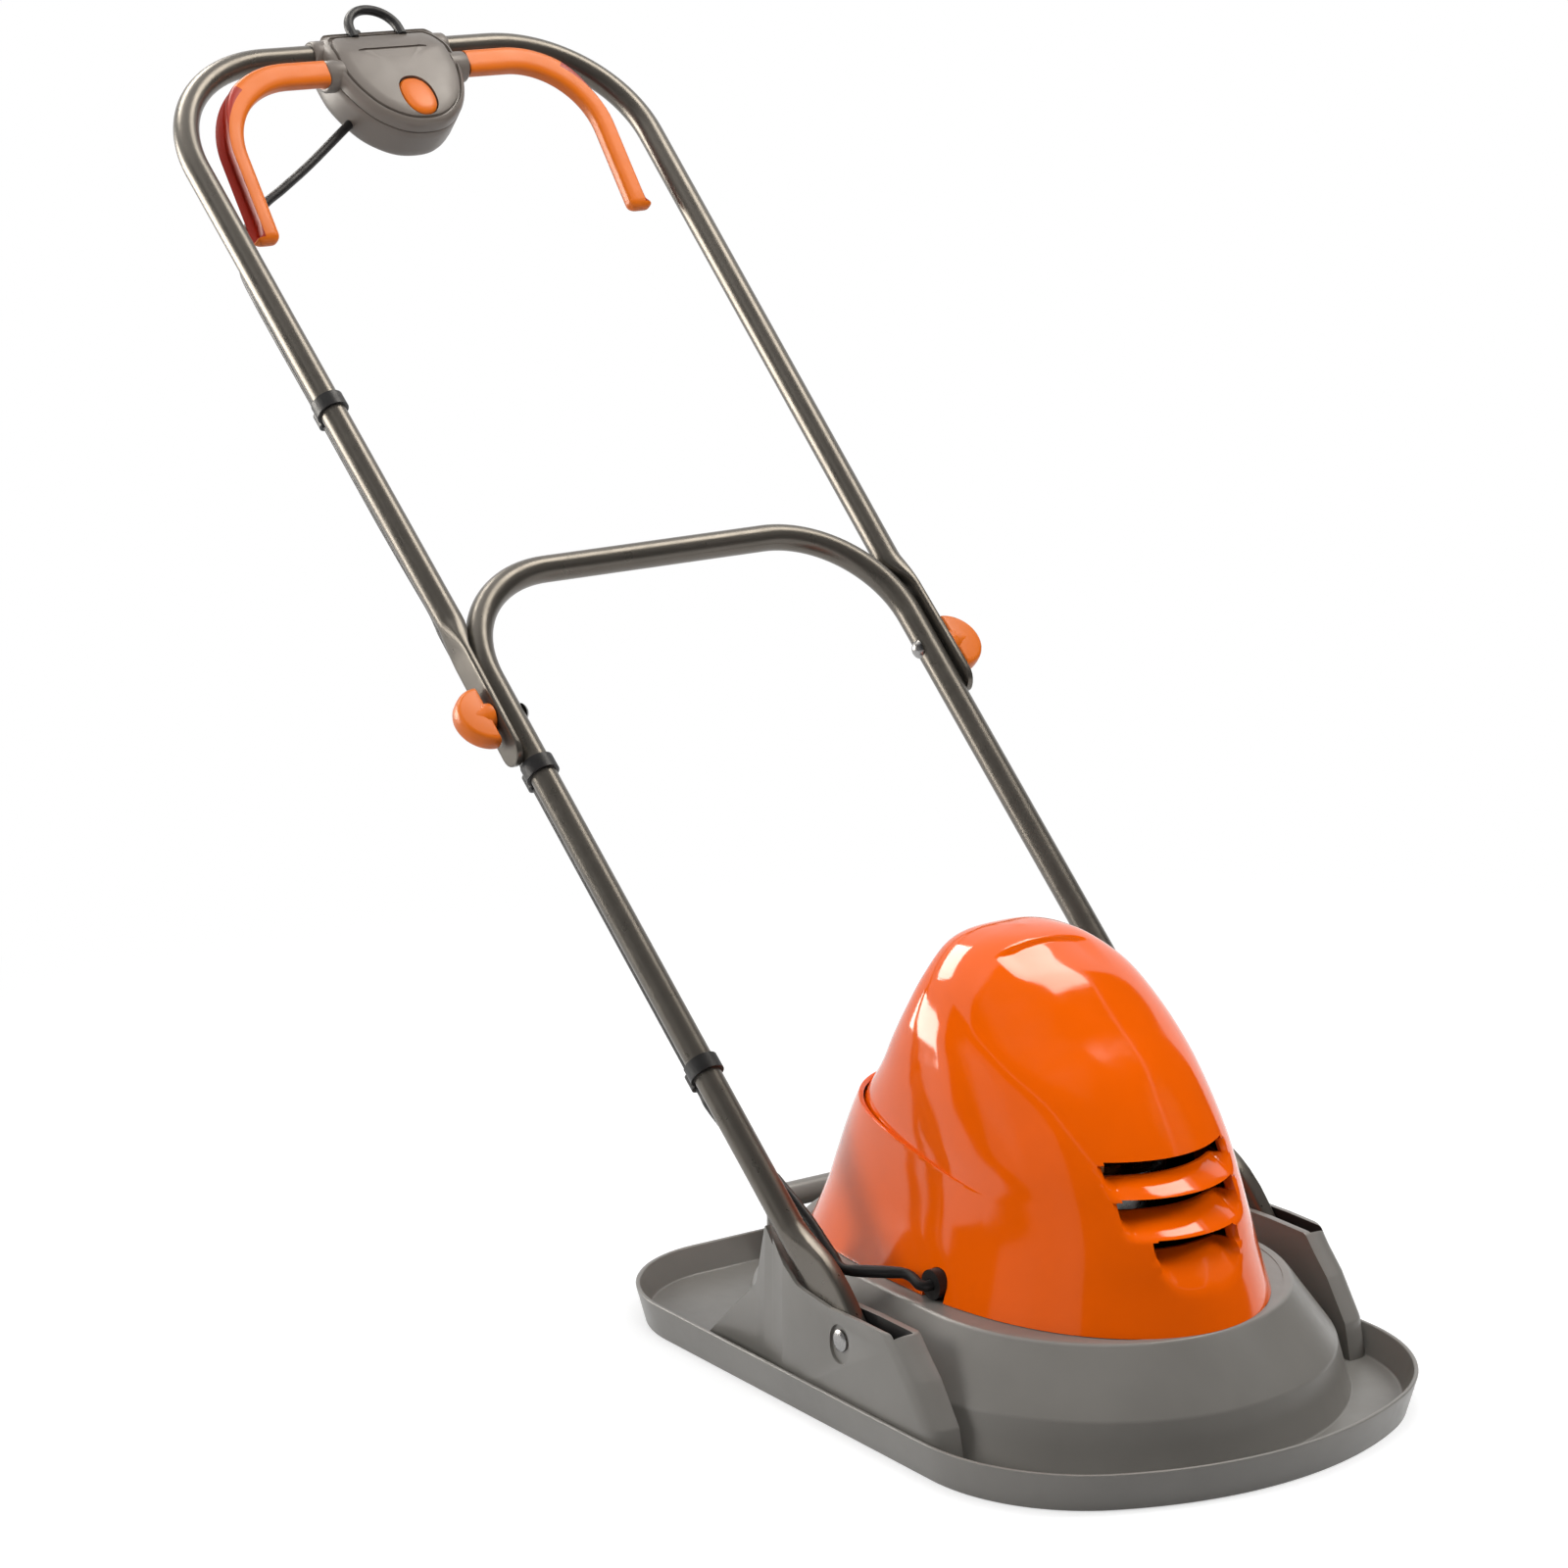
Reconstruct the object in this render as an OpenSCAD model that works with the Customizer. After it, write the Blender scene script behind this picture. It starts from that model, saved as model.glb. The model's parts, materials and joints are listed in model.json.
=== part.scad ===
// Hover mower with a folding tube handle.
// Millimetres, +Z up. Origin on the ground under the blade axis, front of the mower toward -Y.

/* [Deck] */
// Width of the deck across its upturned lip
deck_w = 366; // [356:1:390]
// Distance from the blade axis forward to the lip
deck_front = 198; // [194:1:206]
// Distance from the blade axis back to the rear lip
deck_rear = 318; // [308:1:340]
// Height of the lip above the ground
lip_h = 26; // [22:1:32]
// Height of the tray between the lip and the blade chamber
tray_h = 8; // [6:0.5:12]
// Wall thickness of the hood
hood_wall = 3; // [2.5:0.1:4]
// Radius of the shoulder of the blade chamber
shoulder_r = 157; // [152:1:160]
// Height of that shoulder
shoulder_h = 40; // [34:1:46]
// Radius of the flat top of the hood
hood_top_r = 127; // [124:1:132]
// Height of the flat top that carries the motor cover
hood_top_h = 80; // [77:1:84]
// Length of the straight stretch of the hood behind the blade axis
hood_back = 110; // [104:1:118]
// Height of the rear carry bar's middle
grip_h = 51; // [46:1:58]

/* [Motor cover] */
// Half width of the cover at its foot
cover_half = 113; // [110:1:117]
// Reach of the cover's foot in front of the blade axis
cover_front = 126; // [122:1:126]
// Reach of the cover's foot behind the blade axis
cover_back = 218; // [210:1:226]
// Height of the cover above the hood
cover_h = 214; // [206:1:224]
// Wall thickness of the cover
cover_wall = 2.5; // [2:0.1:3.5]
// How far the lower rear part stands proud of the upper part
collar_proud = 2; // [1:0.5:4]
// Height of each vent slot
vent_h = 8; // [6:0.5:10]

/* [Handle] */
// Lean of the handle from upright
handle_lean = 49.6; // [44:0.2:54]
// Diameter of the handle tube
tube_d = 19; // [18:0.5:20]
// Wall thickness of the handle tube
tube_wall = 1.2; // [1:0.1:1.8]
// How far the lower legs stand inside the deck's sides at the pivots
leg_inset = 14.6; // [14:0.1:15]
// Outward splay of the lower legs
low_splay = 0.8; // [0.4:0.1:1]
// Distance from the pivots to the lower handle's crossbar
low_len = 621; // [600:1:640]
// Bend radius of the lower handle
low_bend = 84; // [78:1:90]
// Distance from the pivots to the upper handle's bolts
bolt_t = 506; // [500:1:512]
// Sideways step from the lower legs at the pivots to the upper legs at those bolts
leg_step = 13.3; // [12.6:0.1:14.6]
// Outward splay of the upper legs
up_splay = 1.4; // [1:0.1:1.6]
// Distance from the pivots to the top bar
up_len = 1110; // [1090:1:1130]
// Bend radius of the upper handle
up_bend = 98; // [94:1:102]

/* [Switch box and lever] */
// Half width of the switch box
box_half = 53; // [50:1:55]
// Length of the switch box along the handle
box_len = 101; // [99:1:103]
// Height of the box above the handle's plane
box_up = 20; // [19.5:0.5:22]
// Depth of the box below the handle's plane
box_down = 21; // [19:0.5:24]
// Width of the lock button
button_w = 27; // [24:1:29]
// Length of the lock button along the handle
button_l = 36; // [32:1:37]
// Travel of the lock button
button_travel = 4; // [2:0.5:5]
// Slant of the lever below the handle's plane when it is free
lever_open = 10.5; // [8:0.5:12]
// Width of a lever wing
lever_w = 20; // [18:0.5:22]
// Thickness of a lever wing
lever_t = 13; // [12:0.5:14]

/* [Wing knobs] */
// Radius of a knob's wing
knob_r = 23; // [20:0.5:25]
// Thickness of a knob's wing
knob_t = 14; // [12:0.5:16]

/* [Motor and blade] */
// Diameter of the stator
stator_d = 88; // [84:1:90]
// Height of the stator
stator_h = 48; // [44:1:50]
// Diameter of the rotor core
armature_d = 44; // [40:1:45]
// Diameter of the motor shaft
shaft_d = 12; // [11:0.5:13]
// Diameter of the impeller
impeller_d = 216; // [200:1:224]
// Length of the blade
blade_len = 250; // [240:1:260]
// Width of the blade
blade_w = 42; // [36:1:46]
// Height of the blade's underside above the ground
blade_h = 31.5; // [30:0.5:33]

/* [Lead] */
// Diameter of the motor lead
cable_d = 7; // [6:0.2:7.6]

/* [Hidden] */
$fn = 48;
// fits
seat_gap = 0.1;
run_gap = 0.06;
part_gap = 0.3;

// rim of the deck
rim_inset = 7;
foot_w = 5;
front_r = 260;
corner_r = 120;
rear_r = 85;
corner_x = deck_w / 2 - corner_r;
front_cy = front_r - deck_front;
corner_cy = front_cy - sqrt(pow(front_r - corner_r, 2) - pow(corner_x, 2));
corner_a = atan2(corner_x, front_cy - corner_cy);
rear_x = deck_w / 2 - rear_r;
rear_cy = deck_rear - rear_r;
rim_step = 0.06;
rim_lap = 1;
function rim_profile(step) = [
  [rim_inset + step, step],
  [step, lip_h - step],
  [hood_wall - step, lip_h - step],
  [rim_inset + hood_wall - step, tray_h - step],
  [rim_inset + foot_w + hood_wall - step, tray_h - step],
  [rim_inset + foot_w + hood_wall - step, tray_h - hood_wall + step],
  [rim_inset + foot_w - step, step]
];

// raised blade chamber
wall_draft = 9;
brow_r = 141;
brow_h = 60;
foot_r = shoulder_r + wall_draft;
// the pods and legs are set out from the deck's side, or from the chamber's foot where that is wider
side_room = 17;
side_half = max(deck_w / 2, foot_r + side_room);
chamber_profile = [
  [foot_r, tray_h - hood_wall],
  [foot_r, tray_h],
  [shoulder_r, shoulder_h],
  [brow_r, brow_h],
  [hood_top_r, hood_top_h],
  [hood_top_r - hood_wall, hood_top_h],
  [hood_top_r - hood_wall, hood_top_h - hood_wall],
  [brow_r - hood_wall, brow_h - hood_wall],
  [shoulder_r - hood_wall, shoulder_h - hood_wall],
  [foot_r - hood_wall, tray_h - hood_wall]
];
intake_count = 8;
intake_r = 11;
intake_ring = 82;

// rear carry bar
grip_half = 42;
grip_r = 9;
grip_post_r = 6;
grip_inset = 12;

// handle pods
pivot_y = 33;
pivot_h = 62.2;
pod_inset = 5;
pod_t = 21;
pod_out = side_half - pod_inset;
pod_in = pod_out - pod_t;
pod_front = 72;
pod_back = 190;
pod_h = 108;
pod_shares = [
  [0, 0], [0.023, 0.22], [0.095, 0.463], [0.145, 0.583], [0.183, 0.685], [0.324, 0.685], [0.44, 0.676],
  [0.576, 0.713], [0.66, 0.852], [0.733, 1], [0.76, 0.76], [0.779, 0.574], [0.885, 0.343], [1, 0.056], [1, 0]
];
pod_pts = [for (q = pod_shares) [q[0] * (pod_front + pod_back) - pod_front, tray_h + q[1] * pod_h]];
tongue_t = 12;
tongue_w = 28;
tongue_rise = 3;
tongue_len = 82;
tongue_blend = 30;
slot_gap = 0.4;
swing = 100;
rest_elev = 90 - handle_lean;
swing_reach = deck_w;
pivot_screw_r = 4;
pivot_head_r = 8;
pivot_head_t = 1.8;
pivot_recess = 2;
pivot_bolt_end = 3;

// motor cover outline: height, half width, front, back and middle
cover_mid = 80;
cover_shares = [
  [0, 1, 1, 1, 0.37], [0.12, 0.936, 0.933, 0.945, 0.385], [0.227, 0.885, 0.88, 0.913, 0.4],
  [0.338, 0.855, 0.8, 0.867, 0.44], [0.444, 0.84, 0.698, 0.803, 0.5], [0.565, 0.815, 0.532, 0.706, 0.6],
  [0.67, 0.78, 0.349, 0.644, 0.69], [0.769, 0.73, 0.1, 0.58, 0.79],
  [0.87, 0.615, -0.135, 0.537, 0.9], [0.95, 0.425, -0.36, 0.527, 0.99], [0.987, 0.24, -0.49, 0.477, 1.02]
];
cover_tip_share = 1.03;
cover_sides = 44;
cover_steps = 2;
cover_square = 3;
collar_from = 0.1;
collar_full = 0.7;
collar_h = 153;
collar_slope = 9.4;
collar_flat = 400;
vent_half_shares = [0.42, 0.39, 0.265];
vent_h_shares = [0.453, 0.355, 0.243];
vent_reach_shares = [0.52, 0.43, 0.27];
notch_y = 21;
notch_h = 10;
notch_r = 9.9;
notch_reach = 40;
boss_r = 6;
boss_h = 34;
boss_x = 97;
boss_front_y = -18;
boss_back_y = 92;
cover_screw_r = 2;
cover_screw_l = 18;
screw_head_r = 4;
screw_head_t = 2.4;

// motor
bracket_t = 5;
bracket_r = 60;
hub_r = 17;
hub_drop = 9;
bearing_low_r = 13;
bearing_h = 8;
bearing_up_r = 11;
bearing_up_h = 7;
cup_wall = 4;
cup_h = 27;
cup_windows = 6;
cup_window_w = 18;
cup_window_h = 14;
pillar_x = 51;
pillar_r = 5.6;
bracket_screw_ring = 54;
bracket_screw_a = 45;
bracket_screw_l = 9;
stator_z = hood_top_h + bracket_t + cup_h;
coil_r = 5.6;
coil_head = 6.2;
coil_ring = 31;
coil_span = 96;
coil_slot_gap = 0.4;
air_gap = 1;
comm_r = 12;
comm_h = 14;
comm_z = stator_z + stator_h + 2 * coil_r;
end_rise = 4;
end_z = comm_z + comm_h + end_rise;
end_t = 10;
end_half_x = 57;
end_half_y = 13;
end_screw_r = 2.5;
end_screw_l = 24;
end_head_r = 4.5;
end_head_t = 3;
shaft_tip = 3;
shaft_r = shaft_d / 2;
armature_coil_r = 19;
armature_coil_h = 7;
fan_hub_r = 12;
fan_r = 35;
fan_h = 12;
fan_disc_t = 2;
fan_rise = 3;
fan_blades = 9;
fan_blade_t = 1.6;
holder_l = 22;
holder_w = 11;
holder_h = 15;
brush_w = 6;
brush_h = 8;
brush_l = 17;
brush_gap = 0.3;

// impeller and blade
spacer_t = 3;
spacer_r = 20;
blade_t = 2.5;
blade_tip_cut = 14;
washer_t = 2;
washer_r = 16;
bolt_r = 3;
bolt_head_r = 8;
bolt_head_h = 7;
bolt_grip = 22;
impeller_hub_r = 16;
impeller_hub_h = 28;
impeller_disc_rise = 4;
impeller_disc_t = 2.5;
impeller_top_gap = 5;
vane_t = 2.2;
vane_from = 56;
vane_lean = 25;
vane_count = 9;
impeller_z = blade_h + blade_t + 2 * spacer_t;
impeller_disc_z = impeller_z + impeller_disc_rise;
vane_top = hood_top_h - hood_wall - impeller_top_gap;

// handle
tube_r = tube_d / 2;
low_half = side_half - leg_inset;
up_half = low_half + leg_step;
low_arc_t = low_len - low_bend;
low_arc_x = low_half + (low_arc_t * sin(low_splay) - low_bend) / cos(low_splay);
low_leg = (low_arc_x - low_half) * sin(low_splay) + low_arc_t * cos(low_splay);
up_base = up_half - bolt_t * tan(up_splay);
up_arc_t = up_len - up_bend;
up_arc_x = up_base + (up_arc_t * sin(up_splay) - up_bend) / cos(up_splay);
up_leg = (up_arc_x - up_base) * sin(up_splay) + up_arc_t * cos(up_splay);
plate_t = 5;
plate_w = 23;
plate_end = 40;
plate_run = 56;
tube_start = 80;
plate_x = low_half + low_arc_t * tan(low_splay) + tube_r + part_gap;
low_bolt_x = low_half + bolt_t * tan(low_splay);
handle_bolt_r = 3;
handle_bolt_end = 17;
handle_head_r = 7.5;
handle_head_t = 4;
thin = 0.5;
lap = 1;
bend_step = 0.06;

// knobs
knob_gap = 0.6;
knob_base_t = 5;
knob_base_r = 10;
knob_x = plate_x + plate_t + knob_gap;
knob_wing_from = 3;
knob_nut_r = 5.5;
knob_nut_l = 12;

// switch box, placed from the top bar
box_rise = 13;
box_split = 7;
box_low_t = up_len + box_rise - box_len;
box_mid_t = up_len - 36;
lever_axis_t = up_len - 26;
box_wall = 2.6;
box_shares = [
  [0, 0], [0.28, 0.02], [0.52, 0.09], [0.73, 0.2], [0.89, 0.36], [0.98, 0.52], [1, 0.66],
  [0.99, 0.8], [0.94, 0.92], [0.85, 0.985], [0.74, 1]
];
box_top_shares = [[0, 1], [0.6, 0.995], [0.85, 0.96], [1, 0.88]];
box_core_share = 0.55;
box_core = box_core_share * (box_up - box_split);
collar_r = 12.5;
collar_l = 7;
journal_r = 8.6;
button_t = up_len - 62;
button_r = button_w / 2;
button_skirt = 10;
button_flange = 2;
button_flange_t = 2;
button_dome = 60;
button_stem_r = 4;
stem_l = 6;
button_z = box_split + box_core - button_flange_t - part_gap;
spring_r = 6;
spring_wall = 1;
spring_seat = 4;
box_screw_r = 1.8;
box_screw_head_r = 3.6;
box_screw_x = 19;
box_screw_t = up_len - 74;
box_screw_grip = 5;
switch_x = 26;
switch_y = 20;
switch_h = 14;
switch_t = up_len - 44;
switch_off = -12;
inlet_r = 6.4;
inlet_neck_r = 4.6;
inlet_bore = 3.6;
inlet_l = 20;
inlet_drop = 14.6;
inlet_seat = 8;
hook_r = 20.5;
hook_wire = 3.6;
hook_foot = 6;
hook_h = 12;

// lever
lever_inset = 36.46;
lever_run = 94;
lever_side = up_x(up_len) - lever_inset;
lever_bend = lever_side - lever_run;
lever_leg = 66;
lever_lift = 4;
lever_shaft_r = 6;
lever_tab_w = 12;
lever_tab_l = 13;
lever_tab_t = 4;
lever_tab_x = 24;
lever_spring_r = 8.2;
lever_spring_l = 14;
lever_spring_x = 14;
spring_foot_w = 4;

// lead and clips
cable_r = cable_d / 2;
cable_off = tube_r + cable_r + part_gap;
cable_sides = 10;
cable_steps = 3;
clip_l = 11;
clip_wall = 2.4;
clip_up_t = 784;
clip_low_ts = [459, 210];
lead_split = 598;
lead_split_gap = 1;
lead_foot_t = 60;
lead_side = 18.5;
lead_tuck = 2.5;
grommet_l = 14;
grommet_x = 108;

function handle_world(p) = [
  p[0],
  pivot_y + p[1] * sin(handle_lean) - p[2] * cos(handle_lean),
  pivot_h + p[1] * cos(handle_lean) + p[2] * sin(handle_lean)
];
function low_x(t) = low_half + t * tan(low_splay);
function up_x(t) = up_base + t * tan(up_splay);

// lead control points along the near side of the handle
lead_top_pts = [
  [36, 50, 13], [46, 57, 13], [90, 87, 18], [120, 106, 20], [142, 119, 23], [166, 142, 26], [183, 175, 22]
];
lead_up_pts = [
  for (q = lead_top_pts) [-q[0], up_len - q[1], -q[2]],
  [-up_x(895), 895, -1.03 * cable_off],
  [-up_x(clip_up_t + clip_l), clip_up_t + clip_l, -cable_off],
  [-up_x(clip_up_t - clip_l), clip_up_t - clip_l, -cable_off],
  [-up_x(0.5 * (clip_up_t + lead_split)), 0.5 * (clip_up_t + lead_split), -cable_off],
  [-up_x(lead_split + 2 * cable_d) + lead_tuck, lead_split + 2 * cable_d, -1.1 * cable_off],
  [-up_x(lead_split) + lead_tuck, lead_split + lead_split_gap, -1.2 * cable_off]
];
lead_low_pts = [
  [-up_x(lead_split) + lead_tuck, lead_split, -1.2 * cable_off],
  [-up_x(lead_split - 2 * cable_d) + lead_tuck, lead_split - 2 * cable_d, -1.3 * cable_off],
  [-up_x(bolt_t) + lead_tuck, bolt_t + cable_d, -1.36 * cable_off],
  [-low_x(clip_low_ts[0] + 2 * clip_l), clip_low_ts[0] + 2 * clip_l, -cable_off],
  [-low_x(clip_low_ts[0] + clip_l), clip_low_ts[0] + clip_l, -cable_off],
  [-low_x(clip_low_ts[0] - clip_l), clip_low_ts[0] - clip_l, -cable_off],
  [-low_x(0.5 * (clip_low_ts[0] + clip_low_ts[1])), 0.5 * (clip_low_ts[0] + clip_low_ts[1]), -cable_off],
  [-low_x(clip_low_ts[1] + clip_l), clip_low_ts[1] + clip_l, -cable_off],
  [-low_x(clip_low_ts[1] - clip_l), clip_low_ts[1] - clip_l, -cable_off],
  [-low_x(clip_low_ts[1] - 2 * clip_l), clip_low_ts[1] - 2 * clip_l, -cable_off],
  [-low_x(0.75 * clip_low_ts[1]) + 0.35 * lead_side, 0.76 * clip_low_ts[1], -1.05 * cable_off],
  [-low_x(0.6 * clip_low_ts[1]) + 0.85 * lead_side, 0.6 * clip_low_ts[1], -0.75 * cable_off],
  [-low_x(lead_foot_t) + lead_side, 1.5 * lead_foot_t, -0.35 * cable_off],
  [-low_x(lead_foot_t) + lead_side, lead_foot_t, 0]
];
lead_foot = handle_world([-low_x(lead_foot_t) + lead_side, lead_foot_t - lead_split_gap, 0]);
notch_z = hood_top_h + notch_h;
lead_deck_pts = [
  lead_foot,
  [lead_foot[0] + 0.1 * lead_side, lead_foot[1] - 2 * cable_d, lead_foot[2] - cable_d],
  [-grommet_x - 1.1 * grommet_l, notch_y + 2.6 * cable_d, notch_z + 0.6 * cable_d],
  [-grommet_x - 0.9 * grommet_l, notch_y + 0.3 * cable_d, notch_z],
  [-grommet_x, notch_y, notch_z],
  [-grommet_x + grommet_l, notch_y, notch_z],
  [-grommet_x + 2.6 * grommet_l, notch_y, notch_z]
];

// helpers
function spline(a, b, c, d, u) =
  0.5 * (2 * b + (c - a) * u + (2 * a - 5 * b + 4 * c - d) * u * u + (3 * b - a - 3 * c + d) * u * u * u);
function smooth_path(p, n) = concat(
  [for (i = [0 : len(p) - 2], k = [0 : n - 1])
    spline(p[max(i - 1, 0)], p[i], p[i + 1], p[min(i + 2, len(p) - 1)], k / n)],
  [p[len(p) - 1]]
);
function unit(v) = v / norm(v);

module both_sides() {
  for (s = [0, 1]) mirror([s, 0, 0]) children();
}

module in_handle() {
  translate([0, pivot_y, pivot_h]) rotate([90 - handle_lean, 0, 0]) children();
}

module along_x(x0, l, r) {
  translate([x0, 0, 0]) rotate([0, 90, 0]) cylinder(r = r, h = l);
}

module side_plate(x0, l) {
  translate([x0, 0, 0]) rotate([90, 0, 90]) linear_extrude(height = l) children();
}

module loft(rings) {
  n = len(rings[0]);
  m = len(rings);
  polyhedron(
    points = [for (g = rings) each g],
    faces = concat(
      [[for (j = [0 : n - 1]) j]],
      [for (i = [0 : m - 2], j = [0 : n - 1])
        [i * n + j, (i + 1) * n + j, (i + 1) * n + (j + 1) % n]],
      [for (i = [0 : m - 2], j = [0 : n - 1])
        [i * n + j, (i + 1) * n + (j + 1) % n, i * n + (j + 1) % n]],
      [[for (j = [0 : n - 1]) (m - 1) * n + n - 1 - j]]
    )
  );
}

module lead(pts) {
  path = smooth_path(pts, cable_steps);
  last = len(path) - 1;
  loft([for (i = [0 : last])
    let (
      t = unit(path[min(i + 1, last)] - path[max(i - 1, 0)]),
      a = unit(cross(t, [0, 0, 1])),
      b = cross(a, t)
    )
    [for (j = [0 : cable_sides - 1])
      path[i] + cable_r * (cos(360 * j / cable_sides) * a + sin(360 * j / cable_sides) * b)]
  ]);
}

// deck
module rim_arc(x, y, r, from, turn, step) {
  translate([x, y, 0]) rotate([0, 0, from]) rotate_extrude(angle = turn)
    polygon([for (q = rim_profile(step)) [r - q[0], q[1]]]);
}

module rim_run(x, y, dir, l) {
  translate([x, y, 0]) rotate([0, 0, dir]) rotate([90, 0, 90])
    linear_extrude(height = l) polygon(rim_profile(0));
}

module rim() {
  rim_arc(0, front_cy, front_r, -90 - corner_a, 2 * corner_a, 0);
  both_sides() {
    rim_arc(corner_x, corner_cy, corner_r, corner_a - 90 - rim_lap, 90 - corner_a + 2 * rim_lap, rim_step);
    rim_arc(rear_x, rear_cy, rear_r, -rim_lap, 90 + 2 * rim_lap, rim_step);
    rim_run(deck_w / 2, corner_cy, 90, rear_cy - corner_cy);
  }
  rim_run(rear_x, deck_rear, 180, 2 * rear_x);
}

module tray_plan(inset) {
  translate([0, front_cy]) intersection() {
    circle(r = front_r - inset);
    polygon([
      [0, 0],
      [-2 * front_r * sin(corner_a), -2 * front_r * cos(corner_a)],
      [2 * front_r * sin(corner_a), -2 * front_r * cos(corner_a)]
    ]);
  }
  for (s = [-1, 1]) {
    translate([s * corner_x, corner_cy]) circle(r = corner_r - inset);
    translate([s * rear_x, rear_cy]) circle(r = rear_r - inset);
  }
  translate([inset - deck_w / 2, corner_cy]) square([deck_w - 2 * inset, rear_cy - corner_cy]);
  translate([-rear_x, rear_cy]) square([2 * rear_x, rear_r - inset]);
}

module stadium(r) {
  circle(r = r);
  translate([0, hood_back]) circle(r = r);
  translate([-r, 0]) square([2 * r, hood_back]);
}

module chamber_wall() {
  rotate([0, 0, 180]) rotate_extrude(angle = 180) polygon(chamber_profile);
  translate([0, hood_back, 0]) rotate_extrude(angle = 180) polygon(chamber_profile);
  both_sides() translate([0, hood_back, 0]) rotate([90, 0, 0])
    linear_extrude(height = hood_back) polygon(chamber_profile);
}

module pod() {
  slot_half = tongue_t / 2 + slot_gap;
  under = tongue_w / 2 - tongue_rise + 2 * slot_gap;
  over = tongue_w / 2 + tongue_rise + 2 * slot_gap;
  pivot = [pivot_y, pivot_h];
  up = rest_elev + swing;
  difference() {
    side_plate(-pod_out, pod_out - pod_in) polygon(pod_pts);
    side_plate(-low_half - slot_half, 2 * slot_half) {
      translate(pivot) circle(r = over);
      polygon([
        pivot,
        pivot + under * [sin(rest_elev), -cos(rest_elev)],
        pivot + under * [sin(rest_elev), -cos(rest_elev)] + swing_reach * [cos(rest_elev), sin(rest_elev)],
        pivot + swing_reach * [0, 1],
        pivot + over * [-sin(up), cos(up)] + swing_reach * [cos(up), sin(up)],
        pivot + over * [-sin(up), cos(up)]
      ]);
    }
    translate([0, pivot_y, pivot_h]) {
      along_x(-pod_out - part_gap, pod_out - pod_in + 2 * part_gap, pivot_screw_r + seat_gap);
      along_x(-pod_out - part_gap, pivot_recess + part_gap, pivot_head_r + part_gap);
    }
  }
}

module rear_bar() {
  y = deck_rear - grip_inset;
  translate([0, y, grip_h]) along_x(-grip_half, 2 * grip_half, grip_r);
  both_sides() translate([grip_half - grip_post_r, y, tray_h - hood_wall])
    cylinder(r = grip_post_r, h = grip_h + hood_wall - tray_h);
}

module deck_hood() {
  color([0.43, 0.42, 0.41]) {
    rim();
    difference() {
      translate([0, 0, tray_h - hood_wall]) linear_extrude(height = hood_wall)
        tray_plan(rim_inset + foot_w);
      linear_extrude(height = hood_top_h) stadium(foot_r - hood_wall);
    }
    chamber_wall();
    translate([0, 0, hood_top_h - hood_wall]) linear_extrude(height = hood_wall)
      difference() {
        stadium(hood_top_r - hood_wall);
        circle(r = hub_r + part_gap);
        for (i = [0 : intake_count - 1]) rotate([0, 0, (i + 0.5) * 360 / intake_count])
          translate([intake_ring, 0]) circle(r = intake_r);
        cover_screw_spots() circle(r = cover_screw_r + seat_gap);
        bracket_screw_spots() circle(r = cover_screw_r + seat_gap);
      }
    both_sides() pod();
    rear_bar();
  }
}

// motor cover
function cover_row(q, grow) = [
  hood_top_h + q[0] * cover_h,
  q[1] * cover_half - grow,
  -q[2] * cover_front + grow,
  q[3] * cover_back - grow,
  q[4] * cover_mid
];
function bulge(s, proud) = proud * pow(max(0, min(1, (s - collar_from) / (collar_full - collar_from))), 2)
  * (3 - 2 * max(0, min(1, (s - collar_from) / (collar_full - collar_from))));
function sgn_pow(v, e) = sign(v) * pow(abs(v), e);
function cover_ring(row, proud) = [for (j = [0 : cover_sides - 1])
  let (
    a = 360 * j / cover_sides,
    c = cos(a),
    s = sin(a),
    e = s > 0 ? 2 / cover_square : 1,
    b = s > 0 ? row[3] - row[4] : row[4] - row[2],
    k = bulge((s + 1) / 2, proud)
  )
  [(row[1] + k) * sgn_pow(c, e), row[4] + (b + k) * sgn_pow(s, e), row[0]]
];

module cover_form(grow, proud) {
  rows = smooth_path(cover_shares, cover_steps);
  rings = [for (q = rows) cover_ring(cover_row(q, grow), proud)];
  n = cover_sides;
  m = len(rings);
  pts = concat([for (g = rings) each g], [[0, cover_tip_share * cover_mid, hood_top_h + cover_h - grow]]);
  polyhedron(
    points = pts,
    faces = concat(
      [[for (j = [0 : n - 1]) j]],
      [for (i = [0 : m - 2], j = [0 : n - 1])
        [i * n + j, (i + 1) * n + j, (i + 1) * n + (j + 1) % n]],
      [for (i = [0 : m - 2], j = [0 : n - 1])
        [i * n + j, (i + 1) * n + (j + 1) % n, i * n + (j + 1) % n]],
      [for (j = [0 : n - 1]) [(m - 1) * n + j, m * n, (m - 1) * n + (j + 1) % n]]
    )
  );
}

module cover_screw_spots() {
  for (s = [-1, 1], y = [boss_front_y, boss_back_y]) translate([s * boss_x, y]) children();
}

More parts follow.
